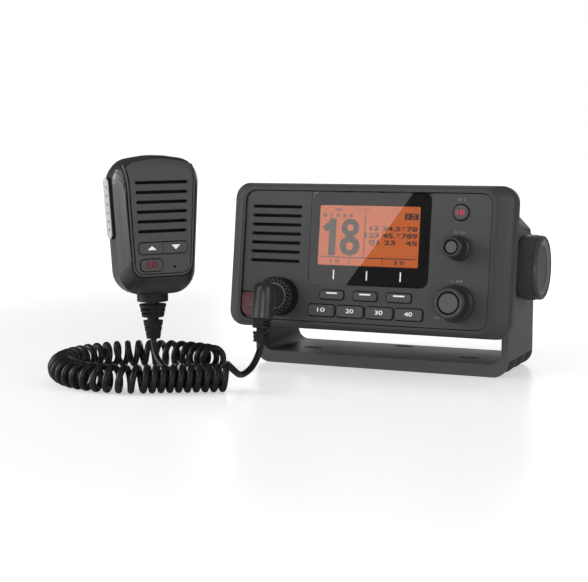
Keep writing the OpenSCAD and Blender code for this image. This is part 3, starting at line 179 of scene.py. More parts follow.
def cord_route():
    """Centre line in millimetres: the handset's lead, the curls and the plug's lead."""
    down = Vector((0, 0, -1))
    mic_exit = spot(MIC, 0, MIC_MIDDLE_Y, MIC_EXIT_Z) / MM
    plug_exit = spot(RADIO, PLUG_X, PLUG_Y, PLUG_EXIT_Z) / MM
    start_way, end_way = coil_way(0), coil_way(CURLS)
    coil = [coil_point(i / CURL_STEPS) for i in range(int(CURLS * CURL_STEPS) + 1)]
    mic_lead = lead_points(mic_exit, MIC.to_3x3() @ down, MIC_PATH,
                           coil_point(0) - CORD_D * start_way, start_way)
    plug_lead = lead_points(plug_exit, RADIO.to_3x3() @ down, PLUG_PATH,
                            coil_point(CURLS) + CORD_D * end_way, -end_way)
    return mic_lead + coil + plug_lead[::-1]


def make_cord():
    """One tube along the whole route; its end at the plug is placed at the radio's plug."""
    route = [p * MM for p in cord_route()]
    curve = D.curves.new("curly_cord_curve", "CURVE")
    curve.dimensions = "3D"
    curve.bevel_depth = CORD_D / 2 * MM
    curve.bevel_resolution = 4
    curve.use_fill_caps = True
    spline = curve.splines.new("POLY")
    spline.points.add(len(route) - 1)
    for p, q in zip(spline.points, route):
        p.co = (*q, 1)
    cord = D.objects.new("handset_cord", curve)
    SCENE.collection.objects.link(cord)
    cord = to_mesh(cord)
    smooth(cord)
    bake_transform(cord)
    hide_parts("cord_lead_mic", "curly_cord", "cord_lead_plug")
    return cord


cord = make_cord()


# ------------------------------------------------------------- materials

def adjust(node, values):
    """Set several inputs of a node by their names."""
    for name, value in values.items():
        node.inputs[name].default_value = value


def worked_out(n, link, operation, *values):
    """Output of a new math node; each value is a number or the socket that feeds it."""
    node = n.new("ShaderNodeMath")
    node.operation = operation
    for socket, value in zip(node.inputs, values):
        if isinstance(value, (int, float)):
            socket.default_value = value
        else:
            link(value, socket)
    return node.outputs[0]


def grain_group():
    """Fine moulded grain and faint mottling, for every dull surface."""
    group = D.node_groups.new("moulded_grain", "ShaderNodeTree")
    face = group.interface
    for name, value in (("Grain Scale", 2500.0), ("Grain Depth", 0.5), ("Mottle", 0.1)):
        socket = face.new_socket(name=name, in_out="INPUT", socket_type="NodeSocketFloat")
        socket.default_value = value
    for name in ("Height", "Shade", "Gloss Break"):
        face.new_socket(name=name, in_out="OUTPUT", socket_type="NodeSocketFloat")
    n, link = group.nodes, group.links.new
    enter, leave = n.new("NodeGroupInput"), n.new("NodeGroupOutput")
    where = n.new("ShaderNodeTexCoord")
    fine, broad = n.new("ShaderNodeTexNoise"), n.new("ShaderNodeTexNoise")
    adjust(fine, {"Detail": 2})
    adjust(broad, {"Scale": 60, "Detail": 4})
    link(where.outputs["Object"], fine.inputs["Vector"])
    link(where.outputs["Object"], broad.inputs["Vector"])
    link(enter.outputs["Grain Scale"], fine.inputs["Scale"])
    height = worked_out(n, link, "MULTIPLY", fine.outputs["Fac"], enter.outputs["Grain Depth"])
    shade = worked_out(n, link, "MULTIPLY_ADD", broad.outputs["Fac"], enter.outputs["Mottle"],
                       0.95)
    gloss = worked_out(n, link, "MULTIPLY_ADD", broad.outputs["Fac"], 0.08, -0.04)
    link(height, leave.inputs["Height"])
    link(shade, leave.inputs["Shade"])
    link(gloss, leave.inputs["Gloss Break"])
    return group


GRAIN = grain_group()


def blank(name):
    """New material and its shader."""
    mat = D.materials.new(name)
    mat.use_nodes = True
    return mat, mat.node_tree.nodes["Principled BSDF"]


def finish(name, colour, rough, metal=0.0, grain=2500.0, bump=0.08, gleam=0.25):
    """Dull or satin surface with the moulded grain."""
    mat, shader = blank(name)
    n, link = mat.node_tree.nodes, mat.node_tree.links.new
    adjust(shader, {"Metallic": metal, "Specular IOR Level": gleam})
    moulded = n.new("ShaderNodeGroup")
    moulded.node_tree = GRAIN
    adjust(moulded, {"Grain Scale": grain, "Grain Depth": 0.5, "Mottle": 0.1})
    tint = n.new("ShaderNodeMix")
    tint.data_type = "RGBA"
    tint.blend_type = "MULTIPLY"
    tint.inputs["Factor"].default_value = 1
    tint.inputs["A"].default_value = (*colour, 1)
    link(moulded.outputs["Shade"], tint.inputs["B"])
    link(tint.outputs["Result"], shader.inputs["Base Color"])
    roughness = worked_out(n, link, "ADD", rough, moulded.outputs["Gloss Break"])
    link(roughness, shader.inputs["Roughness"])
    relief = n.new("ShaderNodeBump")
    adjust(relief, {"Strength": bump, "Distance": 0.0002})
    link(moulded.outputs["Height"], relief.inputs["Height"])
    link(relief.outputs["Normal"], shader.inputs["Normal"])
    return mat


def glow(name, colour, strength, own=1.0):
    """Flat colour with its own glow: the lit display, and print whose glow is painted light; own
    is how much of it the room's light shows.
    """
    mat, shader = blank(name)
    adjust(shader, {"Base Color": (*[own * c for c in colour], 1), "Roughness": 0.5,
                    "Specular IOR Level": 0.08, "Emission Color": (*colour, 1),
                    "Emission Strength": strength})
    return mat


def clear_plastic(name):
    """Clear polished window."""
    mat, shader = blank(name)
    adjust(shader, {"Base Color": (1, 1, 1, 1), "Roughness": 0.0, "IOR": 1.45,
                    "Transmission Weight": 1.0})
    return mat


housing_black = finish("housing_satin", (0.050, 0.050, 0.0505), 0.42, bump=0.10)
panel_grey = finish("panel_matt", (0.062, 0.062, 0.0625), 0.5, bump=0.12)
chassis_black = finish("chassis_cast", (0.034, 0.034, 0.035), 0.5, grain=1200, bump=0.25)
bracket_black = finish("bracket_satin", (0.088, 0.088, 0.0885), 0.42, bump=0.10)
knob_black = finish("knob_satin", (0.026, 0.026, 0.026), 0.42)
cap_grey = finish("cap_satin", (0.092, 0.092, 0.092), 0.38, bump=0.06)
key_grey = finish("key_matt", (0.075, 0.075, 0.0755), 0.48, bump=0.10)
flap_red = finish("flap_maroon", (0.125, 0.052, 0.056), 0.4, bump=0.05)
key_red = finish("alarm_red", (0.30, 0.02, 0.02), 0.4)
# Black of the lens's print and of the dark joint round the panel; in the key gaps, grooves and
# dimples it is painted shade.
print_and_shade_black = finish("print_and_painted_shade", (0.002, 0.002, 0.002), 0.5, bump=0.0, gleam=0.1)
lcd_orange = glow("lcd_glow", (0.47, 0.084, 0.0), 0.62, own=0.5)
board_green = finish("board_resist", (0.02, 0.10, 0.04), 0.4)
driver_grey = finish("driver_steel", (0.20, 0.20, 0.21), 0.4, metal=0.6)
mesh_black = finish("mesh_cloth", (0.008, 0.008, 0.008), 0.9, grain=900, bump=0.6)
membrane_grey = finish("silicone_grey", (0.12, 0.12, 0.13), 0.7)
rubber_black = finish("rubber_matt", (0.009, 0.009, 0.009), 0.55, grain=1500, bump=0.15)
connector_black = finish("connector_satin", (0.026, 0.026, 0.026), 0.33, bump=0.06, gleam=0.5)
cord_black = finish("cord_jacket", (0.008, 0.008, 0.008), 0.36, grain=1800, bump=0.05)
mic_black = finish("mic_satin", (0.016, 0.016, 0.0162), 0.33, bump=0.10, gleam=0.65)
mic_panel_grey = finish("mic_panel_matt", (0.074, 0.074, 0.0745), 0.5, bump=0.12)
talk_bar_black = finish("talk_bar_rubber", (0.012, 0.012, 0.012), 0.55, grain=1500, bump=0.2)
talk_bar_pale = finish("talk_bar_pad", (0.42, 0.42, 0.42), 0.5, bump=0.10)
steel = finish("bright_steel", (0.55, 0.55, 0.56), 0.3, metal=1.0, grain=600, bump=0.05)
nickel = finish("bright_nickel", (0.72, 0.71, 0.68), 0.2, metal=1.0, grain=600, bump=0.03)
acetal = finish("acetal_cream", (0.60, 0.58, 0.50), 0.5)
lens_clear = clear_plastic("lens_acrylic")
# Print in its own colours, each with a faint glow of painted light added.
white_print_painted_glow = glow("white_print_painted_glow", (0.85, 0.85, 0.85), 0.15)
pale_print_painted_glow = glow("pale_print_painted_glow", (0.22, 0.22, 0.22), 0.05)
red_print_painted_glow = glow("red_print_painted_glow", (0.50, 0.03, 0.07), 0.3)
dim_red_print_painted_glow = glow("dim_red_print_painted_glow", (0.16, 0.02, 0.03), 0.1)
lcd_dark = glow("lcd_segments", (0.030, 0.009, 0.002), 0.4, own=0.8)
lcd_faint = glow("lcd_faint", (0.32, 0.060, 0.008), 0.6, own=0.5)
# Pale grey of the collar's edge is a painted highlight.
edge_highlight_grey = finish("plug_edge_highlight", (0.20, 0.20, 0.20), 0.3, bump=0.04)
# Pale grey of the ring's beads is painted glint.
bead_glint_grey = finish("ring_bead_glint", (0.13, 0.13, 0.13), 0.3, bump=0.04)
ring_black = finish("coupling_ring_matt", (0.007, 0.007, 0.007), 0.5, bump=0.1)
ring_grey = finish("ring_satin", (0.060, 0.060, 0.0605), 0.34, bump=0.05)
# Paler grey of the lip's edge is a painted highlight of the housing's rim.
lip_highlight_grey = finish("lip_highlight_satin", (0.075, 0.075, 0.0755), 0.35, bump=0.05)
tilt_knob_black = finish("tilt_knob_satin", (0.070, 0.070, 0.0705), 0.36)
# Dish grey: partly the dish's own mid-grey, partly a painted highlight of its bright rim.
dish_grey_and_highlight = finish("tilt_dish_satin_and_highlight", (0.160, 0.160, 0.1605), 0.3, bump=0.06)
mic_bead_grey = finish("mic_bead_satin", (0.075, 0.075, 0.0755), 0.4, bump=0.06)

# Finish of each solid that shows as it is; a piece that replaces one has its own
FINISHES = (
    (housing_black, ["front_housing"]),
    (bracket_black, ["bracket"]),
    (panel_grey, ["front_panel"]),
    (knob_black, ["volume_knob", "select_knob"]),
    (cap_grey, ["volume_cap", "select_cap"]),
    (key_grey, ["power_key", "soft_key_1", "soft_key_2", "soft_key_3", "menu_key_1",
                "menu_key_2", "menu_key_3", "menu_key_4", "up_key", "down_key", "channel_key"]),
    (flap_red, ["distress_flap"]),
    (key_red, ["distress_key"]),
    (lens_clear, ["display_lens"]),
    (lcd_orange, ["display_panel"]),
    (board_green, ["front_board", "main_board", "mic_board"]),
    (driver_grey, ["speaker", "mic_speaker"]),
    (mesh_black, ["speaker_mesh"]),
    (membrane_grey, ["key_membrane"]),
    (rubber_black, ["tilt_washers", "housing_gasket", "power_gland", "plug_strain_relief",
                    "mic_strain_relief"]),
    (connector_black, ["mic_socket", "data_socket", "hangup_stud"]),
    (ring_black, ["coupling_ring"]),
    (mic_black, ["mic_front_case", "mic_rear_case"]),
    (mic_panel_grey, ["mic_panel"]),
    (steel, ["tilt_stud_left", "tilt_stud_right", "volume_encoder", "select_encoder",
             "housing_screws", "flap_hinge_pin", "mic_element", "mic_screws"]),
    (nickel, ["antenna_socket"]),
    (acetal, ["volume_plunger", "select_plunger"]),
)


def paint(obj, mat):
    """Give an object one finish all over."""
    obj.data.materials.clear()
    obj.data.materials.append(mat)


for surface, names in FINISHES:
    for name in names:
        paint(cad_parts[name], surface)
paint(cord, cord_black)


# ------------------------------------------------------- modelling the pieces

PRINT_T, LINE_T = 0.08, 0.05


def settle(obj, place):
    """Move an object by a matrix and keep the move in its mesh."""
    only(obj)
    obj.matrix_world = place
    bpy.ops.object.transform_apply(location=True, rotation=True, scale=True)
    return obj


def placed(obj, x, y, z, angle=0, axis="X"):
    """Turn and shift a piece, in degrees and millimetres."""
    return settle(obj, at(x, y, z, angle, axis))


def block(name, centre, size):
    """Block at its size and place, in millimetres."""
    bpy.ops.object.select_all(action="DESELECT")
    bpy.ops.mesh.primitive_cube_add(size=1, location=Vector(centre) * MM)
    obj = bpy.context.object
    obj.name = name
    obj.scale = Vector(size) * MM
    bpy.ops.object.transform_apply(location=True, rotation=True, scale=True)
    return obj


def pick(obj, kind, wanted):
    """Open a piece for editing, with the parts of one kind selected that are wanted."""
    only(obj)
    bpy.ops.object.mode_set(mode="EDIT")
    bpy.ops.mesh.select_mode(type=kind)
    bpy.ops.mesh.select_all(action="DESELECT")
    mesh = bmesh.from_edit_mesh(obj.data)
    for part in {"VERT": mesh.verts, "EDGE": mesh.edges, "FACE": mesh.faces}[kind]:
        part.select_set(wanted(part))
    bmesh.update_edit_mesh(obj.data)


def round_edges(obj, radius, along=None, steps=3):
    """Round every edge, or those that run along one axis."""
    def runs_along(edge):
        way = (edge.verts[1].co - edge.verts[0].co).normalized()
        return along is None or abs(way[along]) > 0.99
    pick(obj, "EDGE", runs_along)
    bpy.ops.mesh.bevel(offset=radius * MM, segments=steps, affect="EDGES")
    bpy.ops.object.mode_set(mode="OBJECT")


def soften(obj, width, steps):
    """Small round on every sharp edge."""
    only(obj)
    edge = obj.modifiers.new("edge", "BEVEL")
    edge.width = width * MM
    edge.segments = steps
    edge.limit_method = "ANGLE"
    edge.angle_limit = math.radians(20)
    bpy.ops.object.modifier_apply(modifier="edge")
    bpy.ops.object.shade_smooth_by_angle(angle=math.radians(30))


def slope_sides(obj, x, z, run, fall):
    """Cut both upper side edges to a slope that starts at x, z."""
    only(obj)
    bpy.ops.object.mode_set(mode="EDIT")
    for side in (-1, 1):
        bpy.ops.mesh.select_all(action="SELECT")
        bpy.ops.mesh.bisect(plane_co=Vector((side * x, 0, z)) * MM,
                            plane_no=(side * fall, 0, run), use_fill=True, clear_outer=True)
    bpy.ops.object.mode_set(mode="OBJECT")


def cut_away(obj, cutter):
    """Cut one piece out of another and drop the cutter."""
    only(obj)
    cut = obj.modifiers.new("cut", "BOOLEAN")
    cut.operation = "DIFFERENCE"
    cut.solver = "EXACT"
    cut.object = cutter
    bpy.ops.object.modifier_apply(modifier="cut")
    D.objects.remove(cutter, do_unlink=True)


def joined(name, pieces):
    """Make one piece of several."""
    only(pieces[0])
    for piece in pieces[1:]:
        piece.select_set(True)
    if len(pieces) > 1:
        bpy.ops.object.join()
    obj = bpy.context.object
    obj.name = name
    return obj


def seat(obj, place, body, surface, name=None):
    """Put a piece in its place on the radio or the handset, with its body and finish."""
    settle(obj, place)
    obj.name = name or obj.name
    paint(obj, surface)
    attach(obj, body)


def figures(text, x, y, z, width, height, bold=0.0, thick=PRINT_T):
    """Plain figures as wide and high as asked, lying on a front at depth y."""
    bpy.ops.object.select_all(action="DESELECT")
    bpy.ops.object.text_add()
    obj = bpy.context.object
    obj.data.body = text
    obj.data.offset = bold
    obj.data.extrude = 0.02
    obj = to_mesh(obj)
    spots = [v.co for v in obj.data.vertices]
    low = Vector([min(p[i] for p in spots) for i in range(3)])
    high = Vector([max(p[i] for p in spots) for i in range(3)])
    wide, tall, deep = high - low
    size = Matrix.Diagonal((width * MM / wide, height * MM / tall, thick * MM / deep, 1))
    return settle(obj, at(x, y, z, 90) @ size @ Matrix.Translation(-(low + high) / 2))


def bar(x, y, z, width, height):
    """Flat upright bar on a front."""
    return block("bar", (x, y, z), (width, PRINT_T, height))


def frame_plate(x, y, z, width, height, radius, edge):
    """Thin frame, edge wide, round a rounded opening in a front."""
    plate = block("frame", (x, y, z), (width + 2 * edge, LINE_T, height + 2 * edge))
    round_edges(plate, radius + edge, along=1, steps=6)
    opening = block("opening", (x, y, z), (width, 1, height))
    round_edges(opening, radius, along=1, steps=6)
    cut_away(plate, opening)
    return plate


def turned(name, rings, sides=96):
    """Round piece drawn out along its axis; rings are pairs of radius and depth."""
    bpy.ops.object.select_all(action="DESELECT")
    radius, depth = rings[0]
    bpy.ops.mesh.primitive_circle_add(vertices=sides, radius=radius * MM, fill_type="NGON",
                                      location=(0, 0, depth * MM))
    obj = bpy.context.object
    obj.name = name
    bpy.ops.object.transform_apply(location=True, rotation=True, scale=True)
    bpy.ops.object.mode_set(mode="EDIT")
    bpy.ops.mesh.select_mode(type="FACE")
    bpy.ops.mesh.select_all(action="SELECT")
    for wider, further in rings[1:]:
        step = (0, 0, (further - depth) * MM)
        bpy.ops.mesh.extrude_region_move(TRANSFORM_OT_translate={"value": step})
        grow = wider / radius
        bpy.ops.transform.resize(value=(grow, grow, 1), center_override=(0, 0, further * MM))
        radius, depth = wider, further
    bpy.ops.mesh.select_all(action="SELECT")
    bpy.ops.mesh.normals_make_consistent(inside=False)
    bpy.ops.object.mode_set(mode="OBJECT")
    bpy.ops.object.shade_smooth_by_angle(angle=math.radians(28))
    return obj


def flat_ring(x, y, z, outer, inner, thick=LINE_T):
    """Thin ring on a front."""
    ring = turned("ring", [(outer, -thick / 2), (outer, thick / 2)])
    cut_away(ring, turned("hole", [(inner, -1), (inner, 1)]))
    return placed(ring, x, y, z, 90)


# ------------------------------------------------------- lens and display

LENS_X, LENS_Z, LENS_W, LENS_H = 3.4, 10.35, 71.6, 53.1
LCD_X, LCD_Z, LCD_W, LCD_H = 2.33, 12.08, 60.1, 33.95
LCD_Y, MASK_Y, TICK_Y = -50.24, -50.68, -52.6
TICK_Z, TICK_PITCH = -10.3, 20.0


def make_lens_mask():
    """Black print on the inner face of the lens, with the display's window in it."""
    mask = block("lens_mask", (LENS_X, MASK_Y, LENS_Z), (LENS_W - 0.3, 0.05, LENS_H - 0.3))
    round_edges(mask, 4.8, along=1, steps=8)
    window = block("window", (LCD_X, MASK_Y, LCD_Z), (LCD_W, 1, LCD_H))
    round_edges(window, 0.4, along=1, steps=2)
    cut_away(mask, window)
    seat(mask, RADIO, "radio", print_and_shade_black)


def make_lens_ticks():
    """Three short white lines above the keys under the display."""
    ticks = [bar(2.95 + k * TICK_PITCH, TICK_Y, TICK_Z, 0.75, 5.25) for k in (-1, 0, 1)]
    seat(joined("lens_ticks", ticks), RADIO, "radio", white_print_painted_glow)


def oval(x, z, width, height, thick=PRINT_T):
    """Flat oval disc on the display."""
    bpy.ops.object.select_all(action="DESELECT")
    bpy.ops.mesh.primitive_cylinder_add(vertices=48, radius=0.5, depth=1)
    size = Matrix.Diagonal((width * MM, thick * MM, height * MM, 1))
    return settle(bpy.context.object, at(x, LCD_Y, z) @ size @ at(0, 0, 0, 90))


def make_big_figures():
    """The two tall heavy figures on the display: a one and an eight."""
    stem = bar(-19.6, LCD_Y, 11.1, 4.2, 21.0)
    flag = placed(block("flag", (0, 0, 0), (6.4, PRINT_T, 3.9)), -22.1, LCD_Y, 17.3, -38, "Y")
    top, foot = oval(-8.85, 16.5, 10.6, 10.3), oval(-8.85, 6.3, 12.0, 11.2)
    cut_away(top, oval(-8.85, 16.6, 3.9, 3.6, thick=1))
    cut_away(foot, oval(-8.85, 6.1, 4.4, 4.6, thick=1))
    seat(joined("display_big_figures", [stem, flag, top, foot]), RADIO, "radio", lcd_dark)


# Text, middle x and z, width and height of each small group of figures
SMALL_FIGURES = (
    ("12 34.5678", 17.0, 16.5, 28.2, 2.7),
    ("123 45.6789", 15.7, 12.6, 31.2, 2.8),
    ("01 23   45", 17.0, 8.65, 28.4, 2.7),
    ("25", -16.7, 26.8, 4.6, 1.5),
    ("0 1 2 3 4", -16.7, 23.4, 18.4, 2.0),
    ("1 0", -17.6, -2.7, 6.0, 2.0),
    ("3 0", 21.0, -2.4, 6.0, 2.2),
)


def make_display_figures():
    """What the display shows besides: small plain figures and rules."""
    rules = [bar(-0.1, LCD_Y, 12.9, 0.55, 25), bar(2.1, LCD_Y, -0.3, 57.2, 0.55),
             bar(-8.6, LCD_Y, -2.4, 0.45, 3.3), bar(11.2, LCD_Y, -2.4, 0.45, 3.6)]
    small = [figures(text, x, LCD_Y, z, width, height, bold=0.035)
             for text, x, z, width, height in SMALL_FIGURES]
    seat(joined("display_rules_and_small_figures", rules + small), RADIO, "radio", lcd_dark)
    flag = block("display_flag", (27.3, LCD_Y, 23.45), (8.2, PRINT_T, 3.5))
    cut_away(flag, figures("12", 27.3, LCD_Y, 23.45, 5.0, 2.2, thick=1))
    seat(flag, RADIO, "radio", lcd_dark)
    faint = [bar(-4.2, LCD_Y, 26.95, 3.6, 1.9), bar(0.6, LCD_Y, 26.95, 3.6, 1.9),
             bar(17.4, LCD_Y, 26.9, 1.2, 1.8), bar(29.6, LCD_Y, 26.8, 0.6, 2.2)]
    seat(joined("display_faint_bars", faint), RADIO, "radio", lcd_faint)


make_lens_mask()
make_lens_ticks()
make_big_figures()
make_display_figures()


# ----------------------------------------------------- marks on the front

KEY_Y = FACE - 1.1
GAP_Y = FACE - 0.03


def make_key_marks():
    """White dashes and plain figures on the keys."""
    for i, x in enumerate(SOFT_KEY_X, 1):
        seat(bar(x + 0.1, KEY_Y, SOFT_KEY_Z + 1, 6.6, 0.85), RADIO, f"soft_key_{i}", white_print_painted_glow,
             f"soft_key_dash_{i}")
    for i, x in enumerate(MENU_KEY_X, 1):
        seat(figures(f"{i}0", x, KEY_Y, MENU_KEY_Z + 0.3, 4.6, 2.4, bold=0.01), RADIO,
             f"menu_key_{i}", white_print_painted_glow, f"menu_key_figure_{i}")
    seat(figures("10", KNOB_X, KEY_Y, POWER_KEY_Z, 4.4, 2.9, bold=0.02), RADIO, "power_key",
         red_print_painted_glow, "power_key_figures")


def make_panel_marks():
    """Small pale figures beside the controls, and a dash on the red flap."""
    marks = [figures("0 1", KNOB_X - 0.1, FACE, 33.4, 3.9, 1.5),
             figures("0-10", KNOB_X - 0.3, FACE, 15.3, 6.2, 1.5),
             figures("1-99", KNOB_X - 0.4, FACE, -11.4, 6.4, 1.5),
             figures("10", 45.4, FACE, -31.6, 2.4, 1.2)]
    seat(joined("panel_figures", marks), RADIO, "radio", pale_print_painted_glow)
    seat(bar(-66.6, FACE - 0.2, -29.7, 3.4, 0.6), RADIO, "distress_flap", pale_print_painted_glow,
         "flap_dash")


def make_key_gaps():
    """Dark line round each key, as deep shadow in the gap shows it."""
    lines = [frame_plate(x, GAP_Y, SOFT_KEY_Z, 14.8, 5.4, 1.8, 0.3) for x in SOFT_KEY_X]
    lines += [frame_plate(x, GAP_Y, MENU_KEY_Z, 16.6, 6.9, 1.8, 0.3) for x in MENU_KEY_X]
    lines.append(flat_ring(KNOB_X, GAP_Y, POWER_KEY_Z, 4.85, 4.5))
    seat(joined("key_gap_lines", lines), RADIO, "radio", print_and_shade_black)


def make_panel_edge():
    """Dark joint round the front panel, and a painted highlight on the housing's lip: a paler band
    where light catches the rim.
    """
    joint = frame_plate(0, GAP_Y, -0.4, 146.9, 73.9, 5.5, 0.45)
    seat(joint, RADIO, "radio", print_and_shade_black, "panel_joint")
    # Paler band on the lip is a painted highlight.
    lip = frame_plate(0, FACE - 0.83, -0.4, 148.0, 75.0, 6.1, 0.3)
    seat(lip, RADIO, "radio", lip_highlight_grey, "lip_highlight_edge")


# Radii of the ring's outer and inner edge and of the groove's inner edge
KNOB_RINGS = (("volume_knob", VOLUME_Z, 4.85, 4.2, 3.3), ("select_knob", SELECT_Z, 7.85, 6.3, 5.3))
KNOB_FACE = FACE - 15.5


def make_knob_grooves():
    """Black ring of painted shade in the groove round each knob's disc, and the satin ring outside
    it.
    """
    for name, z, outer, ring, groove in KNOB_RINGS:
        rim = flat_ring(KNOB_X, KNOB_FACE - 0.02, z, outer, ring, 0.14)
        seat(rim, RADIO, name, ring_grey, f"{name}_ring")
        # Black ring in the groove's floor is painted shade.
        dark = flat_ring(KNOB_X, KNOB_FACE + 0.04, z, ring + 0.1, groove, 0.1)
        seat(dark, RADIO, name, print_and_shade_black, f"{name}_groove")


# --------------------------------------------------- tilt knobs and chassis

TILT_KNOB_X, TILT_KNOB_R, TILT_KNOB_T, RIBS = 78.3, 18.4, 12.59, 6
CHASSIS_W, CHASSIS_H, WALL = 140, 72, 4
FLANGE_W, FLANGE_H, FLANGE_FROM, CHASSIS_FROM, CHASSIS_TO = 162, 80, -37.8, -35.3, 50
SLOPE_X, INNER_SLOPE_X, SLOPE_RUN, SLOPE_FALL = 59, 54.6, 11, 28
FINS, FIN_PITCH, FIN_T, FIN_DEPTH = 16, 8.4, 2.2, 12.2
FIN_Y, FIN_FOOT, FIN_TOP, OUTER_FIN_TOP = 55.9, 3, 34, 23.5
BOSS_X, BOSS_R, BOSS_LEN, BORE_R = 56.2, 8, 13.6, 3.05
POST_R, POST_LEN, POST_FOOT = 3.5, 6, -32.1
SCREW_X, SCREW_Z, SCREW_HOLE_R = 75.6, 27, 1.7
# Middle and radius of the holes behind the antenna, data and power connectors
SOCKET_HOLES, SOCKET_Z = ((-42, 5), (14, 4), (46, 4)), -16


def make_tilt_knobs():
    """Clamping knobs with a ribbed grip, a rounded rim and a dished face, whose paler grey is
    partly its own tone and partly a painted highlight of its rim.
    """
    r, t = TILT_KNOB_R, TILT_KNOB_T
    for side, name in ((-1, "tilt_knob_left"), (1, "tilt_knob_right")):
        grip = turned(name + "_grip", [
            (r - 4, 0), (r - 1.4, 0), (r - 0.5, 0.5), (r, 1.6), (r, t - 3.6), (r - 0.45, t - 3.3),
            (r - 0.45, t - 2.9), (r, t - 2.6), (r, t - 1.6), (r - 0.35, t - 0.6),
            (r - 1.1, t - 0.1), (r - 1.9, t), (r - 2.6, t - 0.3), (r - 2.7, t - 1.4)])
        ribs = [block("rib", (r - 0.1, 0, 5.2), (0.9, 1.1, 6.2))]
        round_edges(ribs[0], 0.3)
        for k in range(1, RIBS):
            only(ribs[0])
            bpy.ops.object.duplicate()
            ribs.append(placed(bpy.context.object, 0, 0, 0, 360 / RIBS * k, "Z"))
        knob = joined(name + "_grip", [grip] + ribs)
        face = turned(name + "_face", [
            (r - 2.75, t - 2.2), (r - 2.75, t - 0.45), (r - 3.2, t - 0.25), (r - 3.6, t - 0.4),
            (r - 5.0, t - 1.3), (r - 8, t - 1.9), (3, t - 2.1)])
        turn = RADIO @ at(side * TILT_KNOB_X, 0, 0, 90 * side, "Y")
        seat(knob, turn, name, tilt_knob_black)
        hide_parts(name)
        seat(face, turn, name, dish_grey_and_highlight)


def slab(name, start, end, width, height):
    """Block on the radio's middle line, from one depth to another."""
    return block(name, (0, (start + end) / 2, 0), (width, end - start, height))


def chassis_shell():
    """Flange and hollow body, whose upper side edges slope."""
    flange = slab("flange", FLANGE_FROM, CHASSIS_FROM, FLANGE_W, FLANGE_H)
    round_edges(flange, 9, along=1, steps=8)
    cut_away(flange, slab("opening", -39.5, -33.5, 132, 60))
    body = slab("body", CHASSIS_FROM, CHASSIS_TO, CHASSIS_W, CHASSIS_H)
    slope_sides(body, SLOPE_X, CHASSIS_H / 2, SLOPE_RUN, SLOPE_FALL)
    soften(body, 1.8, 4)
    room = slab("room", -38, CHASSIS_TO - WALL, CHASSIS_W - 2 * WALL, CHASSIS_H - 2 * WALL)
    slope_sides(room, INNER_SLOPE_X, CHASSIS_H / 2, SLOPE_RUN, SLOPE_FALL)
    cut_away(body, room)
    return [flange, body]


def chassis_fins():
    """Cooling fins on the back; the outer two are shorter under the slopes."""
    fins = []
    for i in range(FINS):
        x = (i - (FINS - 1) / 2) * FIN_PITCH
        top = FIN_TOP if 0 < i < FINS - 1 else OUTER_FIN_TOP
        fin = block("fin", (x, FIN_Y, (FIN_FOOT + top) / 2), (FIN_T, FIN_DEPTH, top - FIN_FOOT))
        soften(fin, 0.35, 2)
        fins.append(fin)
    return fins


def drill(obj, radius, length, sides, x, y, z, angle, axis="X"):
    """Round hole from a point on, along the way that the angle gives."""
    cut_away(obj, placed(turned("hole", [(radius, 0), (radius, length)], sides), x, y, z, angle,
                         axis))


def make_chassis():
    """Cast chassis: shell, fins, side bosses with their bores, posts and holes."""
    shell, fins = chassis_shell(), chassis_fins()
    bosses = [placed(turned("boss", [(BOSS_R, 0), (BOSS_R, BOSS_LEN)], 48), side * BOSS_X, 0, 0,
                     90 * side, "Y") for side in (-1, 1)]
    posts = [placed(turned("post", [(POST_R, 0), (POST_R, POST_LEN)], 32), x, y, POST_FOOT)
             for x in (-50, 50) for y in (-20, 32)]
    chassis = joined("chassis_cast", shell + bosses)
    for side in (-1, 1):
        drill(chassis, BORE_R, 14, 48, side * 58, 0, 0, 90 * side, "Y")
    for x, radius in SOCKET_HOLES:
        drill(chassis, radius, 8, 48, x, 52, SOCKET_Z, 90)
    for x in (-SCREW_X, SCREW_X):
        for z in (-SCREW_Z, SCREW_Z):
            drill(chassis, SCREW_HOLE_R, 6, 24, x, -33.5, z, 90)
    chassis = joined("chassis_cast", [chassis] + fins + posts)
    seat(chassis, RADIO, "radio", chassis_black)
    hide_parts("rear_chassis")


# ------------------------------------------------------------------- plug

BEAD_RINGS, BEADS = ((8.7, 0), (9.8, 7.5)), 24


def make_plug():
    """Right-angle plug: domed hood, and collar whose edge carries a painted highlight, a pale ring
    where light catches it.
    """
    hood = placed(turned("hood", [
        (5.4, -37.2), (5.85, -36.8), (5.85, -22.6), (5.72, -20.8), (5.3, -19.3), (4.5, -18.2),
        (3.2, -17.5), (1.2, -17.2)]), PLUG_X, PLUG_Y, 0)
    collar = placed(turned("collar", [
        (5.5, 0), (6.2, 1.5), (6.7, 3.6), (6.9, 6.4), (6.9, 14.1), (6.45, 14.1), (6.45, 19.7)]),
        PLUG_X, PLUG_Y, PLUG_Z, -90)
    plug = joined("plug_hood", [hood, collar])
    seat(plug, RADIO, "radio", connector_black)
    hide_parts("plug_elbow")
    # Pale ring on the collar's edge is a painted highlight.
    edge = flat_ring(PLUG_X, -63.74, PLUG_Z, 7.55, 6.8, 0.3)
    seat(edge, RADIO, "radio", edge_highlight_grey, "plug_collar_highlight")


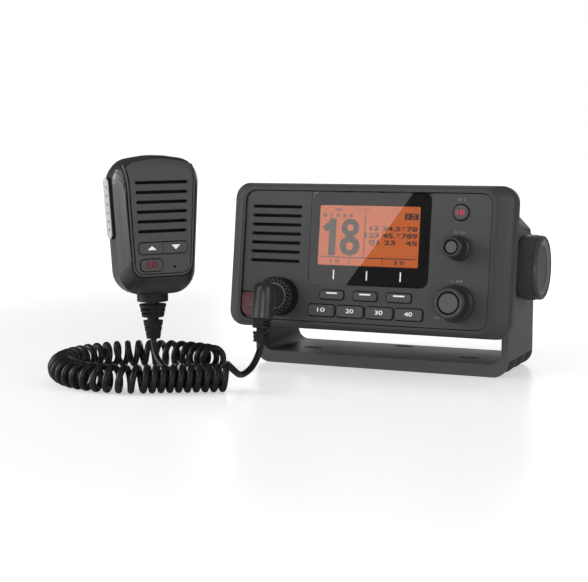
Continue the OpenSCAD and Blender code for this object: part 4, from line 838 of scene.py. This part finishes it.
def make_ring_beads():
    """Two rows of small flat beads on the face of the plug's ring, pale as painted glints on its
    knurls.
    """
    beads = []
    for radius, shift in BEAD_RINGS:
        for k in range(BEADS):
            a = math.radians(360 / BEADS * k + shift)
            bpy.ops.object.select_all(action="DESELECT")
            bpy.ops.mesh.primitive_uv_sphere_add(segments=12, ring_count=8, radius=0.36 * MM)
            bead = settle(bpy.context.object, Matrix.Diagonal((1, 0.6, 1, 1)))
            beads.append(placed(bead, PLUG_X + radius * math.sin(a), -63.52,
                                PLUG_Z + radius * math.cos(a)))
    seat(joined("coupling_ring_glint_beads", beads), RADIO, "coupling_ring", bead_glint_grey)


make_key_marks()
make_panel_marks()
make_plug()
make_ring_beads()
make_chassis()
make_key_gaps()
make_panel_edge()
make_knob_grooves()
make_tilt_knobs()


# ---------------------------------------------------- details of the handset

MIC_FACE = -13.6
MARK_Y = MIC_FACE - 0.5
PANEL_FOOT, PANEL_HALF, PANEL_SPREAD, PANEL_R = 13.2, 15.6, 4.1 / 73.8, 4.5


def panel_edge(grow):
    """Outline of the handset's panel, foot and sides, from top left to top right."""
    def side(z):
        return PANEL_HALF + (z - PANEL_FOOT) * PANEL_SPREAD + grow
    r, foot = PANEL_R + grow, PANEL_FOOT - grow
    corner = []
    for k in range(9):
        a = math.radians(90 * k / 8)
        corner.append((side(foot) - r + r * math.sin(a), foot + r - r * math.cos(a)))
    half = corner + [(side(z), z) for z in range(19, 74)]
    return [(-x, z) for x, z in half[::-1]] + half


def line_on_case(name, grow, radius, out):
    """Round bead that follows the case's front along the panel's edge."""
    points = panel_edge(grow)
    path = D.meshes.new(name)
    path.from_pydata([Vector((x, -30, z)) * MM for x, z in points],
                     [(i, i + 1) for i in range(len(points) - 1)], [])
    obj = D.objects.new(name, path)
    SCENE.collection.objects.link(obj)
    only(obj)
    obj.matrix_world = MIC
    bpy.context.view_layer.update()
    wrap = obj.modifiers.new("wrap", "SHRINKWRAP")
    wrap.wrap_method = "PROJECT"
    wrap.use_project_y = True
    wrap.use_project_x = wrap.use_project_z = False
    wrap.use_negative_direction = False
    wrap.use_positive_direction = True
    wrap.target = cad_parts["mic_front_case"]
    wrap.offset = out * MM
    bpy.ops.object.modifier_apply(modifier="wrap")
    # Points that missed the case's front are dropped
    pick(obj, "VERT", lambda v: not -20 * MM < v.co.y < -4 * MM)
    bpy.ops.mesh.delete(type="VERT")
    bpy.ops.object.mode_set(mode="OBJECT")
    bpy.ops.object.convert(target="CURVE")
    obj = bpy.context.object
    obj.data.bevel_depth = radius * MM
    obj.data.bevel_resolution = 3
    obj.data.use_fill_caps = True
    obj = to_mesh(obj)
    smooth(obj)
    return obj


def make_mic_bead():
    """Raised bead round the handset's panel, and outside it a black strip of painted shade where a
    groove runs.
    """
    bead = line_on_case("mic_bead", 1.15, 0.6, 0.1)
    seat(bead, MIC, "base", mic_bead_grey)
    # Black strip on the case is painted shade of the groove outside the bead.
    groove = line_on_case("mic_bead_groove_shade", 2.05, 0.3, 0.22)
    seat(groove, MIC, "base", print_and_shade_black)


def make_mic_cloth():
    """Dark cloth behind the handset's slots."""
    strips = [block("strip", (0, -9.4, 62.6 - 5.3 * i), (30.8 - 0.48 * i, 0.3, 1.76))
              for i in range(6)]
    seat(joined("mic_cloth", strips), MIC, "base", mesh_black)


def triangle(x, z, width, height, way):
    """Small solid triangle that points up or down."""
    obj = block("triangle", (x, MARK_Y, z), (width, PRINT_T, height))
    pick(obj, "VERT", lambda v: way * (v.co.z / MM - z) > 0)
    bpy.ops.transform.resize(value=(0, 1, 1), center_override=(x * MM, 0, 0))
    bpy.ops.mesh.remove_doubles(threshold=0.00001)
    bpy.ops.object.mode_set(mode="OBJECT")
    return obj


def make_mic_marks():
    """Arrows on the rocker and plain figures on the channel key."""
    seat(triangle(-6.6, 27.2, 5.2, 2.2, 1), MIC, "up_key", white_print_painted_glow,
         "up_key_arrow")
    seat(triangle(7.4, 27.2, 5.2, 2.6, -1), MIC, "down_key", white_print_painted_glow,
         "down_key_arrow")
    seat(figures("10", -6.5, MARK_Y, 18.1, 5.8, 3.8, bold=0.03), MIC, "channel_key",
         dim_red_print_painted_glow, "channel_key_figures")


def make_mic_key_gaps():
    """Dark lines of painted shade in the gaps round the rocker's two halves and the channel key.
    """
    y = MIC_FACE - 0.03
    lines = [frame_plate(0, y, 27, 28.4, 6.6, 2.0, 0.25),
             frame_plate(-6.9, y, 17.8, 13.2, 6.9, 2.6, 0.25)]
    seat(joined("mic_key_gap_shade", lines), MIC, "base", print_and_shade_black)


BAR_W, BAR_H, BAR_OUT, BAR_IN, PAD_T = 7.4, 33.6, 2.0, 3.2, 0.6
BAR_LEAN = math.degrees(math.atan(4.1 / 74))
BAR_SIDE = MIC @ at(-24.398, 0.7, 48.7, -BAR_LEAN, "Y")
DIMPLES, DIMPLE_Y, DIMPLE_PITCH = 6, -1.2, 4.6


def dimple_disc(i, radius, half, sink):
    """Short round disc that lies across the pad at one dimple."""
    disc = turned("dimple", [(radius, -half), (radius, half)], 24)
    return placed(disc, -BAR_OUT + sink, DIMPLE_Y, (i - (DIMPLES - 1) / 2) * DIMPLE_PITCH, 90, "Y")


def make_talk_bar():
    """Talk bar: black body, and pale outer pad with six dimples, each holding a black disc of
    painted shade.
    """
    deep = BAR_OUT + BAR_IN - PAD_T
    body = block("talk_bar_body", (BAR_IN - deep / 2, 0, 0), (deep, BAR_W, BAR_H))
    round_edges(body, BAR_W / 2 - 0.05, along=0, steps=10)
    seat(body, BAR_SIDE, "ptt_bar", talk_bar_black)
    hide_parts("ptt_bar")
    pad = block("talk_bar_pad", (-BAR_OUT + PAD_T / 2, 0, 0), (PAD_T, BAR_W, BAR_H))
    round_edges(pad, BAR_W / 2 - 0.05, along=0, steps=10)
    pick(pad, "FACE", lambda f: f.normal.x < -0.9)
    bpy.ops.mesh.bevel(offset=0.35 * MM, segments=3, affect="EDGES")
    bpy.ops.object.mode_set(mode="OBJECT")
    for i in range(DIMPLES):
        cut_away(pad, dimple_disc(i, 0.8, 0.35, 0))
    seat(pad, BAR_SIDE, "ptt_bar", talk_bar_pale)
    # Black discs at the bottom of the dimples are painted shade.
    dimple_shade = [dimple_disc(i, 0.74, 0.05, 0.13) for i in range(DIMPLES)]
    seat(joined("talk_bar_dimple_shade", dimple_shade), BAR_SIDE, "ptt_bar", print_and_shade_black)


make_mic_bead()
make_mic_cloth()
make_mic_marks()
make_mic_key_gaps()
make_talk_bar()


# ----------------------------------------------------------------- stage

# The line whose reflection is the edge of the glare in the lens
GLARE_LOW, GLARE_HIGH = Vector((-0.4878, -1.243, 0.2336)), Vector((-0.3935, -1.2418, 0.3782))
MAIN_W, MAIN_H, MAIN_SHIFT = 0.84, 1.5, 0.16
# Name, place, target, watts, width and height of the softer lamps
SOFT_LAMPS = (
    ("lamp_top", (0.0, 0.1, 1.3), (0, 0, 0.05), 0.8, 1.4, 1.0),
    ("lamp_left", (-1.05, -0.5, 0.36), (-0.05, -0.05, 0.06), 8.2, 0.45, 0.6),
    ("lamp_front", (0.5, -1.25, 0.08), (0.0, -0.05, 0.05), 4.0, 0.7, 0.2),
    ("lamp_back", (-0.2, 1.4, 0.4), (0, 0, 0.03), 2.2, 1.2, 0.5),
    ("lamp_right", (1.2, -0.25, 0.5), (0.05, -0.02, 0.06), 4.6, 0.5, 0.8),
)


def add_lamp(name, place, target, power, width, height, edge=(0, 0, 1)):
    """Soft rectangular lamp that faces its target; edge is the way its height runs."""
    bpy.ops.object.light_add(type="AREA", location=place)
    lamp = bpy.context.object
    lamp.name = name
    lamp.data.shape = "RECTANGLE"
    lamp.data.size, lamp.data.size_y = width, height
    lamp.data.energy = power
    lamp.visible_camera = False
    back = (Vector(place) - Vector(target)).normalized()
    up = Vector(edge)
    up = (up - up.dot(back) * back).normalized()
    lamp.rotation_euler = Matrix((up.cross(back), up, back)).transposed().to_euler()


def set_lamps():
    """Main lamp ahead on the left, whose edge shows in the lens; softer ones all round."""
    middle = (GLARE_LOW + GLARE_HIGH) / 2
    edge = (GLARE_HIGH - GLARE_LOW).normalized()
    back = (middle - spot(RADIO, 0, FACE, 10)).normalized()
    aside = edge.cross(back).normalized()
    if aside.x > 0:
        aside = -aside
    place = middle + MAIN_SHIFT * edge + MAIN_W / 2 * aside
    add_lamp("lamp_main", place, place - back, 7.5, MAIN_W, MAIN_H, edge)
    for lamp in SOFT_LAMPS:
        add_lamp(*lamp)


def set_floor():
    """Pale floor that fades to white away from the radio and keeps its shadow."""
    bpy.ops.object.select_all(action="DESELECT")
    bpy.ops.mesh.primitive_plane_add(size=16, location=(0, 3, 0))
    floor = bpy.context.object
    floor.name = "floor"
    mat, shader = blank("floor_white")
    n, link = mat.node_tree.nodes, mat.node_tree.links.new
    adjust(shader, {"Base Color": (0.78, 0.78, 0.78, 1), "Roughness": 0.3,
                    "Emission Color": (1, 1, 1, 1)})
    where = n.new("ShaderNodeTexCoord")
    away = n.new("ShaderNodeVectorMath")
    away.operation = "DISTANCE"
    away.inputs[1].default_value = (0, -3, 0)
    link(where.outputs["Object"], away.inputs[0])
    fade = n.new("ShaderNodeMapRange")
    fade.interpolation_type = "SMOOTHSTEP"
    adjust(fade, {"From Min": 0.25, "From Max": 0.9, "To Min": 0.47, "To Max": 1.0})
    link(away.outputs["Value"], fade.inputs["Value"])
    seen = n.new("ShaderNodeLightPath")
    lift = worked_out(n, link, "MULTIPLY", seen.outputs["Is Camera Ray"], fade.outputs["Result"])
    link(lift, shader.inputs["Emission Strength"])
    paint(floor, mat)


def white(n, link, strength, node=None):
    """Output of a plain white background."""
    node = node or n.new("ShaderNodeBackground")
    adjust(node, {"Color": (1, 1, 1, 1), "Strength": strength})
    return node.outputs[0]


def set_room():
    """White behind the radio, dimmer in reflections and as light."""
    world = D.worlds.new("studio")
    SCENE.world = world
    world.use_nodes = True
    n, link = world.node_tree.nodes, world.node_tree.links.new
    rays = n.new("ShaderNodeLightPath")
    straight = worked_out(n, link, "MAXIMUM", rays.outputs["Is Camera Ray"],
                          rays.outputs["Is Transmission Ray"])
    mixed = white(n, link, 0.28, n["Background"])
    for share, strength in ((rays.outputs["Is Glossy Ray"], 0.1), (straight, 1.0)):
        mix = n.new("ShaderNodeMixShader")
        link(share, mix.inputs["Fac"])
        link(mixed, mix.inputs[1])
        link(white(n, link, strength), mix.inputs[2])
        mixed = mix.outputs[0]
    link(mixed, n["World Output"].inputs["Surface"])


set_lamps()
set_floor()
set_room()
SCENE.view_settings.view_transform = "Standard"
